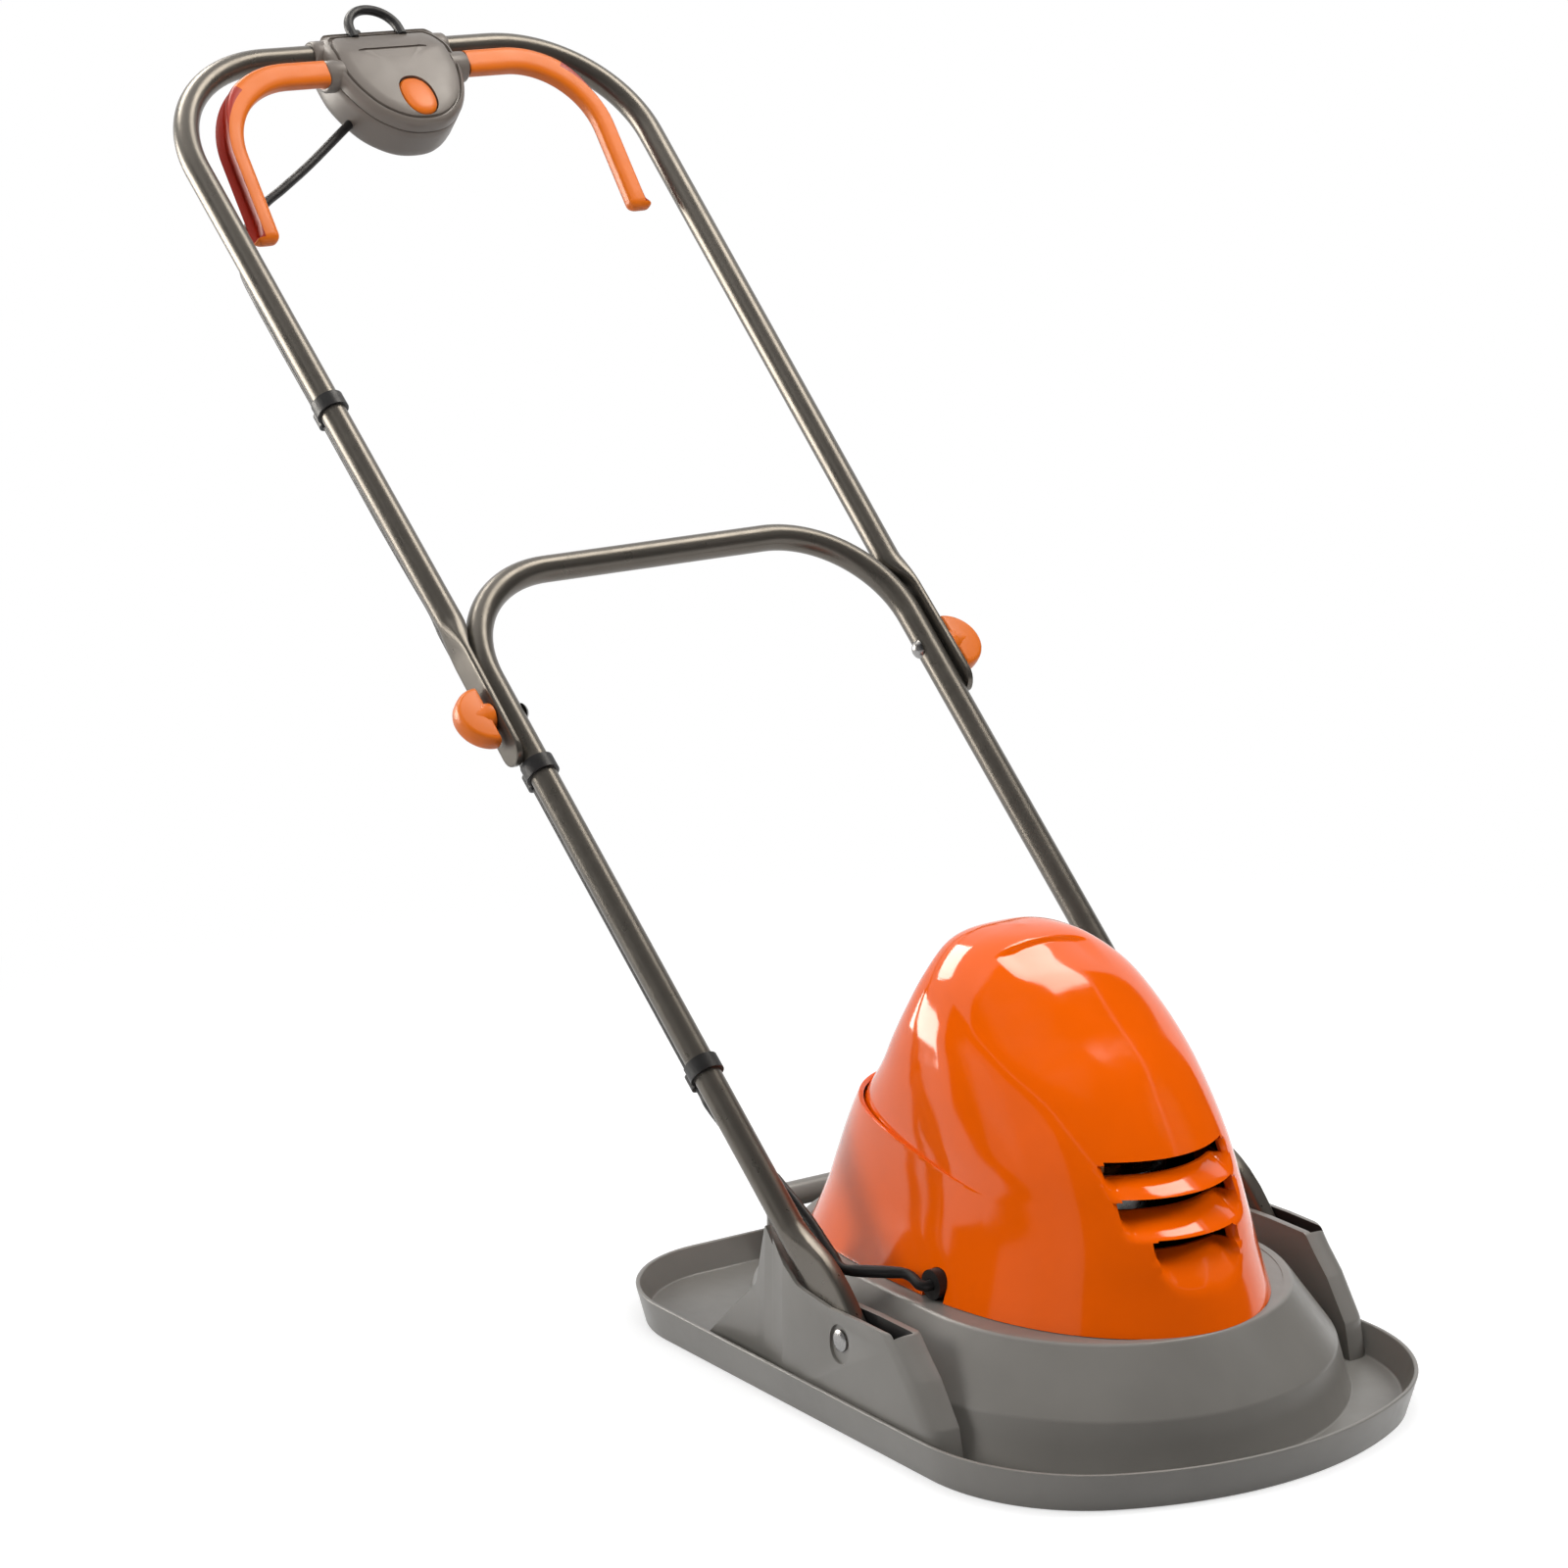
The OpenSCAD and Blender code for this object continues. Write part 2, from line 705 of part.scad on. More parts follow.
module motor_cover() {
  color([0.92, 0.34, 0.05]) difference() {
    union() {
      difference() {
        union() {
          cover_form(0, 0);
          intersection() {
            cover_form(0, collar_proud);
            translate([-collar_flat / 2, 0, collar_h]) rotate([collar_slope, 0, 0])
              translate([0, -collar_flat, -collar_flat]) cube([collar_flat, 2 * collar_flat, collar_flat]);
          }
        }
        cover_form(cover_wall, 0);
      }
      intersection() {
        cover_form(0, 0);
        translate([0, 0, hood_top_h]) cover_screw_spots() cylinder(r = boss_r, h = boss_h);
      }
    }
    translate([0, 0, hood_top_h]) cover_screw_spots()
      cylinder(r = cover_screw_r + seat_gap, h = cover_screw_l);
    for (i = [0 : len(vent_h_shares) - 1])
      translate([
        -vent_half_shares[i] * cover_half,
        -cover_front,
        hood_top_h + vent_h_shares[i] * cover_h - vent_h / 2
      ])
        cube([2 * vent_half_shares[i] * cover_half, vent_reach_shares[i] * cover_front, vent_h]);
    translate([0, notch_y, notch_z]) along_x(-cover_half - notch_reach, 2 * notch_reach, notch_r);
    translate([-cover_half - notch_reach, notch_y - notch_r, hood_top_h])
      cube([2 * notch_reach, 2 * notch_r, notch_h]);
  }
}

module screw_up(l, r, head_r, head_t) {
  cylinder(r = r, h = l);
  translate([0, 0, -head_t]) cylinder(r = head_r, h = head_t);
}

module cover_screws() {
  color([0.7, 0.7, 0.72]) translate([0, 0, hood_top_h - hood_wall]) cover_screw_spots()
    screw_up(cover_screw_l, cover_screw_r, screw_head_r, screw_head_t);
}

// motor
module bracket_screw_spots() {
  for (i = [0 : 3]) rotate([0, 0, bracket_screw_a + 90 * i]) translate([bracket_screw_ring, 0]) children();
}

module motor_bracket() {
  color([0.2, 0.2, 0.22]) difference() {
    union() {
      translate([0, 0, hood_top_h]) cylinder(r = bracket_r, h = bracket_t);
      translate([0, 0, hood_top_h - hub_drop]) cylinder(r = hub_r, h = hub_drop);
      translate([0, 0, hood_top_h + bracket_t]) difference() {
        cylinder(r = stator_d / 2, h = cup_h);
        cylinder(r = stator_d / 2 - cup_wall, h = cup_h);
        for (i = [0 : cup_windows - 1]) rotate([0, 0, (i + 0.5) * 360 / cup_windows])
          translate([0, -cup_window_w / 2, 0]) cube([stator_d, cup_window_w, cup_window_h]);
      }
      both_sides() translate([pillar_x, 0, hood_top_h]) cylinder(r = pillar_r, h = end_z - hood_top_h);
    }
    translate([0, 0, hood_top_h - hub_drop]) cylinder(r = shaft_r + part_gap, h = hub_drop + bracket_t);
    translate([0, 0, hood_top_h - hub_drop]) cylinder(r = bearing_low_r + seat_gap, h = bearing_h);
    translate([0, 0, hood_top_h]) bracket_screw_spots() cylinder(r = cover_screw_r + seat_gap, h = bracket_t);
    both_sides() translate([pillar_x, 0, end_z - end_screw_l + end_t])
      cylinder(r = end_screw_r + seat_gap, h = end_screw_l);
  }
}

module bracket_screws() {
  color([0.7, 0.7, 0.72]) translate([0, 0, hood_top_h - hood_wall]) bracket_screw_spots()
    screw_up(bracket_screw_l, cover_screw_r, screw_head_r, screw_head_t);
}

module lower_bearing() {
  color([0.75, 0.75, 0.77]) translate([0, 0, hood_top_h - hub_drop]) difference() {
    cylinder(r = bearing_low_r, h = bearing_h);
    cylinder(r = shaft_r + run_gap, h = bearing_h);
  }
}

module upper_bearing() {
  color([0.75, 0.75, 0.77]) translate([0, 0, end_z]) difference() {
    cylinder(r = bearing_up_r, h = bearing_up_h);
    cylinder(r = shaft_r + run_gap, h = bearing_up_h);
  }
}

module coil() {
  low = stator_z - coil_r;
  high = stator_z + stator_h + coil_r;
  turn = coil_span / 2 + atan(coil_head / coil_ring);
  for (s = [-1, 1]) rotate([0, 0, s * coil_span / 2]) translate([coil_ring, 0, low])
    cylinder(r = coil_r, h = high - low);
  for (z = [low, high]) translate([0, 0, z]) rotate([0, 0, -turn])
    rotate_extrude(angle = 2 * turn) translate([coil_ring, 0])
      square([2 * coil_head, 2 * coil_r], center = true);
}

module coil_slots() {
  for (a = [0, 180], s = [-1, 1]) rotate([0, 0, a + s * coil_span / 2])
    translate([coil_ring, 0, stator_z]) cylinder(r = coil_r + coil_slot_gap, h = stator_h);
}

module stator_core() {
  color([0.5, 0.5, 0.53]) difference() {
    translate([0, 0, stator_z]) cylinder(r = stator_d / 2, h = stator_h);
    translate([0, 0, stator_z]) cylinder(r = armature_d / 2 + air_gap, h = stator_h);
    coil_slots();
  }
}

module field_coils() {
  color([0.62, 0.3, 0.14]) for (a = [0, 180]) rotate([0, 0, a]) coil();
}

module end_bracket() {
  color([0.2, 0.2, 0.22]) difference() {
    translate([-end_half_x, -end_half_y, end_z]) cube([2 * end_half_x, 2 * end_half_y, end_t]);
    translate([0, 0, end_z]) cylinder(r = bearing_up_r + seat_gap, h = bearing_up_h);
    translate([0, 0, end_z]) cylinder(r = shaft_r + part_gap, h = end_t);
    both_sides() translate([pillar_x, 0, end_z]) cylinder(r = end_screw_r + seat_gap, h = end_t);
  }
}

module end_bracket_screws() {
  color([0.7, 0.7, 0.72]) both_sides() translate([pillar_x, 0, end_z + end_t]) {
    translate([0, 0, -end_screw_l]) cylinder(r = end_screw_r, h = end_screw_l);
    cylinder(r = end_head_r, h = end_head_t);
  }
}

module brush_holders() {
  x0 = comm_r + end_rise;
  color([0.55, 0.42, 0.2]) both_sides() difference() {
    translate([x0, -holder_w / 2, end_z - holder_h]) cube([holder_l, holder_w, holder_h]);
    translate([x0, -brush_w / 2 - seat_gap, comm_z + comm_h / 2 - brush_h / 2 - seat_gap])
      cube([holder_l, brush_w + 2 * seat_gap, brush_h + 2 * seat_gap]);
  }
}

module carbon_brushes() {
  color([0.12, 0.12, 0.12]) both_sides()
    translate([comm_r + brush_gap, -brush_w / 2, comm_z + comm_h / 2 - brush_h / 2])
      cube([brush_l, brush_w, brush_h]);
}

// rotor
module motor_shaft() {
  z0 = blade_h + blade_t;
  color([0.72, 0.72, 0.74]) difference() {
    translate([0, 0, z0]) cylinder(r = shaft_r, h = end_z + end_t + shaft_tip - z0);
    translate([0, 0, z0]) cylinder(r = bolt_r + seat_gap, h = bolt_grip + part_gap);
  }
}

module on_shaft(z, h) {
  difference() {
    children();
    translate([0, 0, z]) cylinder(r = shaft_r + run_gap, h = h);
  }
}

module armature_core() {
  color([0.45, 0.45, 0.48]) on_shaft(stator_z, stator_h)
    translate([0, 0, stator_z]) cylinder(r = armature_d / 2, h = stator_h);
}

module armature_coils() {
  color([0.6, 0.28, 0.12]) for (z = [stator_z - armature_coil_h, stator_z + stator_h])
    on_shaft(z, armature_coil_h) translate([0, 0, z]) cylinder(r = armature_coil_r, h = armature_coil_h);
}

module commutator() {
  color([0.72, 0.4, 0.2]) on_shaft(comm_z, comm_h) translate([0, 0, comm_z]) cylinder(r = comm_r, h = comm_h);
}

module cooling_fan() {
  z = hood_top_h + bracket_t + fan_rise;
  color([0.15, 0.15, 0.16]) on_shaft(z, fan_h) translate([0, 0, z]) {
    cylinder(r = fan_hub_r, h = fan_h);
    translate([0, 0, fan_h - fan_disc_t]) cylinder(r = fan_r, h = fan_disc_t);
    for (i = [0 : fan_blades - 1]) rotate([0, 0, i * 360 / fan_blades])
      translate([0, -fan_blade_t / 2, 0]) cube([fan_r - fan_blade_t, fan_blade_t, fan_h]);
  }
}

module impeller() {
  color([0.12, 0.12, 0.13]) on_shaft(impeller_z, impeller_hub_h) {
    translate([0, 0, impeller_z]) cylinder(r = impeller_hub_r, h = impeller_hub_h);
    translate([0, 0, impeller_disc_z]) cylinder(r = impeller_d / 2, h = impeller_disc_t);
    for (i = [0 : vane_count - 1]) rotate([0, 0, i * 360 / vane_count])
      translate([vane_from, 0, impeller_disc_z]) rotate([0, 0, vane_lean])
        cube([(impeller_d / 2 - vane_from) * cos(vane_lean), vane_t, vane_top - impeller_disc_z]);
  }
}

module blade_spacers() {
  color([0.2, 0.2, 0.2]) for (i = [0, 1]) on_shaft(blade_h + blade_t + i * spacer_t, spacer_t)
    translate([0, 0, blade_h + blade_t + i * spacer_t]) cylinder(r = spacer_r, h = spacer_t - seat_gap);
}

module blade() {
  color([0.6, 0.61, 0.63]) translate([0, 0, blade_h]) linear_extrude(height = blade_t) difference() {
    polygon([
      [-blade_len / 2, blade_tip_cut - blade_w / 2],
      [blade_tip_cut - blade_len / 2, -blade_w / 2],
      [blade_len / 2, -blade_w / 2],
      [blade_len / 2, blade_w / 2 - blade_tip_cut],
      [blade_len / 2 - blade_tip_cut, blade_w / 2],
      [-blade_len / 2, blade_w / 2]
    ]);
    circle(r = bolt_r + seat_gap);
  }
}

module blade_washer() {
  color([0.65, 0.65, 0.67]) translate([0, 0, blade_h - washer_t]) difference() {
    cylinder(r = washer_r, h = washer_t);
    cylinder(r = bolt_r + seat_gap, h = washer_t);
  }
}

module blade_bolt() {
  color([0.3, 0.3, 0.32]) translate([0, 0, blade_h - washer_t]) {
    translate([0, 0, -bolt_head_h]) cylinder(r = bolt_head_r, h = bolt_head_h, $fn = 6);
    cylinder(r = bolt_r, h = washer_t + blade_t + bolt_grip);
  }
}

// handle pivots
module pivot_screws() {
  color([0.35, 0.35, 0.36]) both_sides() translate([0, pivot_y, pivot_h]) {
    along_x(-pod_out + pivot_recess, pod_out - pivot_recess - pod_in + pivot_bolt_end, pivot_screw_r);
    along_x(-pod_out + pivot_recess - pivot_head_t, pivot_head_t, pivot_head_r);
  }
}

module cable_grommet() {
  color([0.06, 0.06, 0.06]) translate([0, notch_y, notch_z]) difference() {
    along_x(-grommet_x - grommet_l / 2, grommet_l, notch_r - seat_gap);
    along_x(-grommet_x - grommet_l / 2, grommet_l, cable_r + seat_gap);
  }
}

module motor_lead_deck() {
  color([0.05, 0.05, 0.05]) lead(lead_deck_pts);
}

// lower handle
module leg(half, splay, from, to, r) {
  translate([-half, 0, 0]) rotate([0, 0, splay]) translate([0, from, 0]) rotate([-90, 0, 0])
    cylinder(r = r, h = to - from);
}

module leg_tube(half, splay, from, to) {
  difference() {
    leg(half, splay, from, to + lap, tube_r);
    leg(half, splay, from, to + lap, tube_r - tube_wall);
  }
}

module bend_tube(x, t, big, splay) {
  translate([-x, t, 0]) rotate([0, 0, 90]) rotate_extrude(angle = 90 + splay) translate([big, 0])
    difference() {
      circle(r = tube_r - bend_step);
      circle(r = tube_r - tube_wall + bend_step);
    }
}

module bar_tube(x, t) {
  translate([0, t, 0]) difference() {
    along_x(-x - lap, 2 * (x + lap), tube_r);
    along_x(-x - lap, 2 * (x + lap), tube_r - tube_wall);
  }
}

module tongue() {
  translate([-low_half - tongue_t / 2, 0, tongue_rise]) {
    rotate([0, 90, 0]) cylinder(r = tongue_w / 2, h = tongue_t);
    translate([0, 0, -tongue_w / 2]) cube([tongue_t, tongue_len - tongue_blend, tongue_w]);
  }
  hull() {
    translate([-low_half - tongue_t / 2, tongue_len - tongue_blend - thin, tongue_rise - tongue_w / 2])
      cube([tongue_t, thin, tongue_w]);
    leg(low_half, low_splay, tongue_len, tongue_len + lap, tube_r - tube_wall / 2, $fn = 32);
  }
}

module lower_handle() {
  color([0.4, 0.38, 0.35]) in_handle() difference() {
    union() {
      both_sides() {
        leg_tube(low_half, low_splay, tongue_len, low_leg);
        bend_tube(low_arc_x, low_arc_t, low_bend, low_splay);
        tongue();
      }
      bar_tube(low_arc_x, low_len);
    }
    along_x(-deck_w, 2 * deck_w, pivot_screw_r + run_gap);
    translate([0, bolt_t, 0]) along_x(-deck_w, 2 * deck_w, handle_bolt_r + seat_gap);
  }
}

module handle_bolts() {
  head_x = low_bolt_x - tube_r;
  color([0.75, 0.75, 0.74]) in_handle() both_sides() translate([0, bolt_t, 0]) {
    along_x(head_x, knob_x + handle_bolt_end - head_x, handle_bolt_r);
    intersection() {
      along_x(head_x - handle_head_t, handle_head_t, handle_head_r);
      translate([head_x + handle_head_r - handle_head_t, 0, 0]) sphere(r = handle_head_r);
    }
  }
}

module clip(half, splay, t) {
  translate([-half, 0, 0]) rotate([0, 0, splay]) translate([0, t - clip_l / 2, 0]) rotate([-90, 0, 0])
    difference() {
      union() {
        cylinder(r = tube_r + clip_wall, h = clip_l);
        translate([0, cable_off, 0]) cylinder(r = cable_r + clip_wall, h = clip_l);
      }
      cylinder(r = tube_r + seat_gap, h = clip_l);
      translate([0, cable_off, 0]) cylinder(r = cable_r + seat_gap, h = clip_l);
    }
}

module lower_cable_clips() {
  color([0.05, 0.05, 0.05]) in_handle() for (t = clip_low_ts) clip(low_half, low_splay, t);
}

module motor_lead_lower() {
  color([0.05, 0.05, 0.05]) in_handle() lead(lead_low_pts);
}

// upper handle
module flat_end() {
  translate([-plate_x - plate_t, bolt_t, 0]) {
    translate([0, plate_w / 2 - plate_end, 0]) rotate([0, 90, 0]) cylinder(r = plate_w / 2, h = plate_t);
    translate([0, plate_w / 2 - plate_end, -plate_w / 2])
      cube([plate_t, plate_run + plate_end - plate_w / 2, plate_w]);
  }
  hull() {
    translate([-plate_x - plate_t, bolt_t + plate_run - thin, -plate_w / 2]) cube([plate_t, thin, plate_w]);
    leg(up_base, up_splay, bolt_t + tube_start, bolt_t + tube_start + lap, tube_r - tube_wall / 2, $fn = 32);
  }
}

module upper_handle() {
  color([0.4, 0.38, 0.35]) in_handle() difference() {
    union() {
      both_sides() {
        leg_tube(up_base, up_splay, bolt_t + tube_start, up_leg);
        bend_tube(up_arc_x, up_arc_t, up_bend, up_splay);
        flat_end();
      }
      bar_tube(up_arc_x, up_len);
    }
    translate([0, bolt_t, 0]) along_x(-deck_w, 2 * deck_w, handle_bolt_r + run_gap);
  }
}

// switch box
function box_ring(share, z, inset) = [
  for (k = [0 : 2 * len(box_shares) - 2])
    let (
      last = len(box_shares) - 1,
      q = k <= last ? box_shares[k] : box_shares[2 * last + 1 - k],
      s = k <= last ? 1 : -1
    )
    [
      s * q[0] * (box_half - inset) * share,
      box_mid_t + (box_low_t + inset + q[1] * (box_len - 2 * inset) - box_mid_t) * share,
      z
    ]
];

module box_plan(inset) {
  polygon([for (p = box_ring(1, 0, inset)) [p[0], p[1]]]);
}

module box_holes() {
  translate([0, up_len, 0]) along_x(-deck_w, 2 * deck_w, tube_r + seat_gap);
  translate([0, lever_axis_t, box_split]) along_x(-deck_w, 2 * deck_w, journal_r + run_gap);
}

module box_collars(z0, z1) {
  reach = box_half + collar_l;
  intersection() {
    translate([0, lever_axis_t, box_split]) both_sides()
      along_x(box_half - box_wall, box_wall + collar_l, collar_r);
    translate([-reach, lever_axis_t - collar_r, z0]) cube([2 * reach, 2 * collar_r, z1 - z0]);
  }
}

module box_screw_spots() {
  for (s = [-1, 1]) translate([s * box_screw_x, box_screw_t]) children();
}

module button_plan(grow) {
  step = (button_l - button_w) / 2;
  for (s = [-1, 1]) translate([0, s * step]) circle(r = button_r + grow);
  square([button_w + 2 * grow, 2 * step], center = true);
}

module hook_feet(gap) {
  translate([0, box_low_t + box_len, hook_h]) both_sides() translate([hook_r, -hook_foot - gap, 0])
    rotate([-90, 0, 0]) cylinder(r = hook_wire + gap, h = hook_foot + gap);
}

module switch_box_top() {
  rise = box_up - box_split;
  color([0.45, 0.43, 0.4]) in_handle() difference() {
    union() {
      difference() {
        loft([for (q = box_top_shares) box_ring(q[1], box_split + q[0] * rise, 0)]);
        translate([0, 0, box_split]) linear_extrude(height = box_core) box_plan(2 * box_wall);
      }
      box_collars(box_split, box_split + collar_r);
      translate([0, 0, box_split]) box_screw_spots() cylinder(r = box_screw_head_r, h = box_core + box_wall);
    }
    box_holes();
    hook_feet(seat_gap);
    translate([0, 0, box_split]) {
      box_screw_spots() cylinder(r = box_screw_r + seat_gap, h = box_core);
      translate([0, button_t, 0]) linear_extrude(height = rise) button_plan(part_gap);
      translate([0, button_t, 0]) linear_extrude(height = box_core) button_plan(button_flange + part_gap);
    }
  }
}

module switch_box_base() {
  deep = box_down + box_split;
  color([0.3, 0.29, 0.28]) in_handle() difference() {
    union() {
      difference() {
        translate([0, 0, -box_down]) linear_extrude(height = deep) box_plan(0);
        translate([0, 0, -box_down + box_wall]) linear_extrude(height = deep) box_plan(box_wall);
      }
      box_collars(box_split - collar_r, box_split);
      translate([0, 0, -box_down]) {
        box_screw_spots() cylinder(r = box_screw_head_r + box_wall, h = deep);
        translate([0, button_t, 0])
          cylinder(r = spring_r - spring_wall - seat_gap, h = box_wall + spring_seat);
      }
    }
    box_holes();
    translate([0, 0, -box_down]) box_screw_spots() {
      cylinder(r = box_screw_r + seat_gap, h = deep);
      cylinder(r = box_screw_head_r + seat_gap, h = screw_head_t);
    }
    translate([0, box_low_t + box_len - inlet_seat, -inlet_drop]) rotate([-90, 0, 0])
      cylinder(r = inlet_neck_r + seat_gap, h = 2 * inlet_seat);
    lead_exit();
  }
}

module lead_exit() {
  run = lead_up_pts[2] - lead_up_pts[0];
  translate(lead_up_pts[1]) rotate([0, 0, atan2(run[1], run[0])]) rotate([0, 90, 0])
    translate([0, 0, -2 * cable_d]) cylinder(r = cable_r + 3 * part_gap, h = 5 * cable_d);
}

module box_screws() {
  color([0.7, 0.7, 0.72]) in_handle() translate([0, 0, -box_down]) box_screw_spots() {
    translate([0, 0, screw_head_t])
      cylinder(r = box_screw_r, h = box_down + box_split + box_screw_grip - screw_head_t);
    cylinder(r = box_screw_head_r, h = screw_head_t);
  }
}

module switch_unit() {
  color([0.08, 0.08, 0.09]) in_handle()
    translate([switch_off - switch_x / 2, switch_t - switch_y / 2, -box_down + box_wall])
      cube([switch_x, switch_y, switch_h]);
}

module lever_spring() {
  color([0.7, 0.7, 0.72]) in_handle() translate([lever_spring_x, lever_axis_t, box_split]) difference() {
    union() {
      along_x(0, lever_spring_l, lever_spring_r);
      translate([0, -spring_foot_w / 2, -box_down - box_split + box_wall])
        cube([lever_spring_l, spring_foot_w, box_down + box_split - box_wall]);
    }
    along_x(0, lever_spring_l, lever_shaft_r + part_gap);
  }
}

module button_spring() {
  tall = button_z - stem_l - button_travel - part_gap + box_down - box_wall;
  color([0.7, 0.7, 0.72]) in_handle() translate([0, button_t, -box_down + box_wall]) difference() {
    cylinder(r = spring_r, h = tall);
    cylinder(r = spring_r - spring_wall, h = tall);
  }
}

module mains_inlet() {
  color([0.05, 0.05, 0.05]) in_handle() translate([0, box_low_t + box_len, -inlet_drop])
    rotate([-90, 0, 0]) difference() {
      union() {
        translate([0, 0, -inlet_seat]) cylinder(r = inlet_neck_r, h = inlet_seat + inlet_l);
        translate([0, 0, seat_gap]) cylinder(r = inlet_r, h = inlet_l - seat_gap);
      }
      translate([0, 0, -inlet_seat]) cylinder(r = inlet_bore, h = inlet_seat + inlet_l);
    }
}

module cord_hook() {
  color([0.1, 0.1, 0.1]) in_handle() {
    translate([0, box_low_t + box_len, hook_h])
      rotate_extrude(angle = 180) translate([hook_r, 0]) circle(r = hook_wire);
    hook_feet(0);
  }
}

module upper_cable_clip() {
  color([0.05, 0.05, 0.05]) in_handle() clip(up_base, up_splay, clip_up_t);
}

module motor_lead_upper() {
  color([0.05, 0.05, 0.05]) in_handle() lead(lead_up_pts);
}

// lever, button and knobs
module lever_section() {
  square([lever_w - lever_t, lever_t], center = true);
  for (s = [-1, 1]) translate([s * (lever_w - lever_t) / 2, 0]) circle(r = lever_t / 2);
}

module bail_lever() {
  color([0.93, 0.45, 0.08]) in_handle() translate([0, lever_axis_t, box_split]) rotate([lever_open, 0, 0]) {
    along_x(-box_half, 2 * box_half, lever_shaft_r);
    translate([-lever_tab_x - lever_tab_w / 2, -lever_tab_l, -lever_tab_t / 2])
      cube([lever_tab_w, lever_tab_l, lever_tab_t]);
    both_sides() {
      along_x(box_half - collar_l, 2 * collar_l + part_gap, journal_r);
      translate([0, 0, lever_lift]) {
        translate([box_half + collar_l + part_gap, 0, 0]) rotate([90, 0, 90])
          linear_extrude(height = lever_run - box_half - collar_l - part_gap) lever_section();
        translate([lever_run, -lever_bend, 0]) rotate_extrude(angle = 90)
          translate([lever_bend, 0]) lever_section();
        translate([lever_side, -lever_bend, 0]) rotate([90, 0, 0])
          linear_extrude(height = lever_leg) lever_section();
        translate([lever_side - (lever_w - lever_t) / 2, -lever_bend - lever_leg, 0]) {
          rotate([0, 90, 0]) cylinder(r = lever_t / 2, h = lever_w - lever_t);
          sphere(r = lever_t / 2);
          translate([lever_w - lever_t, 0, 0]) sphere(r = lever_t / 2);
        }
      }
    }
  }
}

module lock_button() {
  color([0.95, 0.5, 0.1]) in_handle() translate([0, button_t, button_z]) {
    intersection() {
      linear_extrude(height = box_up) button_plan(0);
      translate([0, 0, button_skirt - button_dome]) sphere(r = button_dome);
    }
    linear_extrude(height = button_flange_t) button_plan(button_flange);
    translate([0, 0, -stem_l]) cylinder(r = button_stem_r, h = stem_l);
  }
}

module knob() {
  translate([0, bolt_t, 0]) difference() {
    union() {
      along_x(knob_x, knob_base_t, knob_base_r);
      intersection() {
        translate([knob_x + knob_wing_from, 0, -knob_t / 2]) cylinder(r = knob_r, h = knob_t);
        translate([knob_x + knob_wing_from, -knob_r, -knob_t / 2]) cube([knob_r, 2 * knob_r, knob_t]);
      }
    }
    along_x(knob_x, knob_nut_l + seat_gap, knob_nut_r + seat_gap);
    along_x(knob_x, handle_bolt_end + part_gap, handle_bolt_r + part_gap);
  }
}

module knob_nut() {
  translate([0, bolt_t, 0]) difference() {
    along_x(knob_x, knob_nut_l, knob_nut_r);
    along_x(knob_x, knob_nut_l, handle_bolt_r + run_gap);
  }
}

module left_knob() {
  color([0.95, 0.5, 0.1]) in_handle() mirror([1, 0, 0]) knob();
}

module right_knob() {
  color([0.95, 0.5, 0.1]) in_handle() knob();
}

module left_knob_nut() {
  color([0.75, 0.65, 0.35]) in_handle() mirror([1, 0, 0]) knob_nut();
}

module right_knob_nut() {
  color([0.75, 0.65, 0.35]) in_handle() knob_nut();
}

deck_hood();
motor_cover();
cover_screws();
motor_bracket();
bracket_screws();
stator_core();
field_coils();
end_bracket();
end_bracket_screws();
upper_bearing();
lower_bearing();
brush_holders();
carbon_brushes();
pivot_screws();
cable_grommet();
motor_lead_deck();
motor_shaft();
armature_core();
armature_coils();
commutator();
cooling_fan();
impeller();
blade_spacers();
blade();
blade_washer();
blade_bolt();
lower_handle();
handle_bolts();
lower_cable_clips();
motor_lead_lower();
upper_handle();
switch_box_top();
switch_box_base();
box_screws();
switch_unit();
lever_spring();
button_spring();
mains_inlet();
cord_hook();
upper_cable_clip();
motor_lead_upper();
bail_lever();
lock_button();
left_knob();
right_knob();
left_knob_nut();
right_knob_nut();
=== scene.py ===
"""Looks of a hover mower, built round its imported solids."""
import json
import math

import bmesh
import bpy
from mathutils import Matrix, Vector


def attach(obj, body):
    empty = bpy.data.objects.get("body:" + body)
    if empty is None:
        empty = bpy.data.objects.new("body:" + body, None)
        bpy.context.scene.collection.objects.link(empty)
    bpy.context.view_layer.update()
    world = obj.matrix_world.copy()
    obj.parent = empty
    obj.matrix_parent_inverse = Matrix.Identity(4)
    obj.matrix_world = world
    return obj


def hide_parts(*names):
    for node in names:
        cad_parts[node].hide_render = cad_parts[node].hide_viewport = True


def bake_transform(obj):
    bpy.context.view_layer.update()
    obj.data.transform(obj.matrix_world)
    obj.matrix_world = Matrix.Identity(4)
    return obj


bl_info = {
    "name": "Hover mower looks",
    "version": (1, 0, 0),
    "blender": (4, 5, 0),
    "location": "View3D > Sidebar > Mower",
    "description": "Builds the visible pieces of a hover mower round its solids",
    "category": "Object",
}

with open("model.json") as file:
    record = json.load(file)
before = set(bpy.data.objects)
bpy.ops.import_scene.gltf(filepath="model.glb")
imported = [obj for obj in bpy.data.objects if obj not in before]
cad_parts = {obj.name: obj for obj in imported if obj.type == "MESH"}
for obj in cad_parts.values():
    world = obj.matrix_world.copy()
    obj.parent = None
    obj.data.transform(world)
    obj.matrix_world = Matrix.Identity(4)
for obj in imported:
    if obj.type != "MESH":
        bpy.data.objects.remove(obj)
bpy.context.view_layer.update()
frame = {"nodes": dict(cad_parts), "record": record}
NODES = frame["nodes"]
MM = 0.001

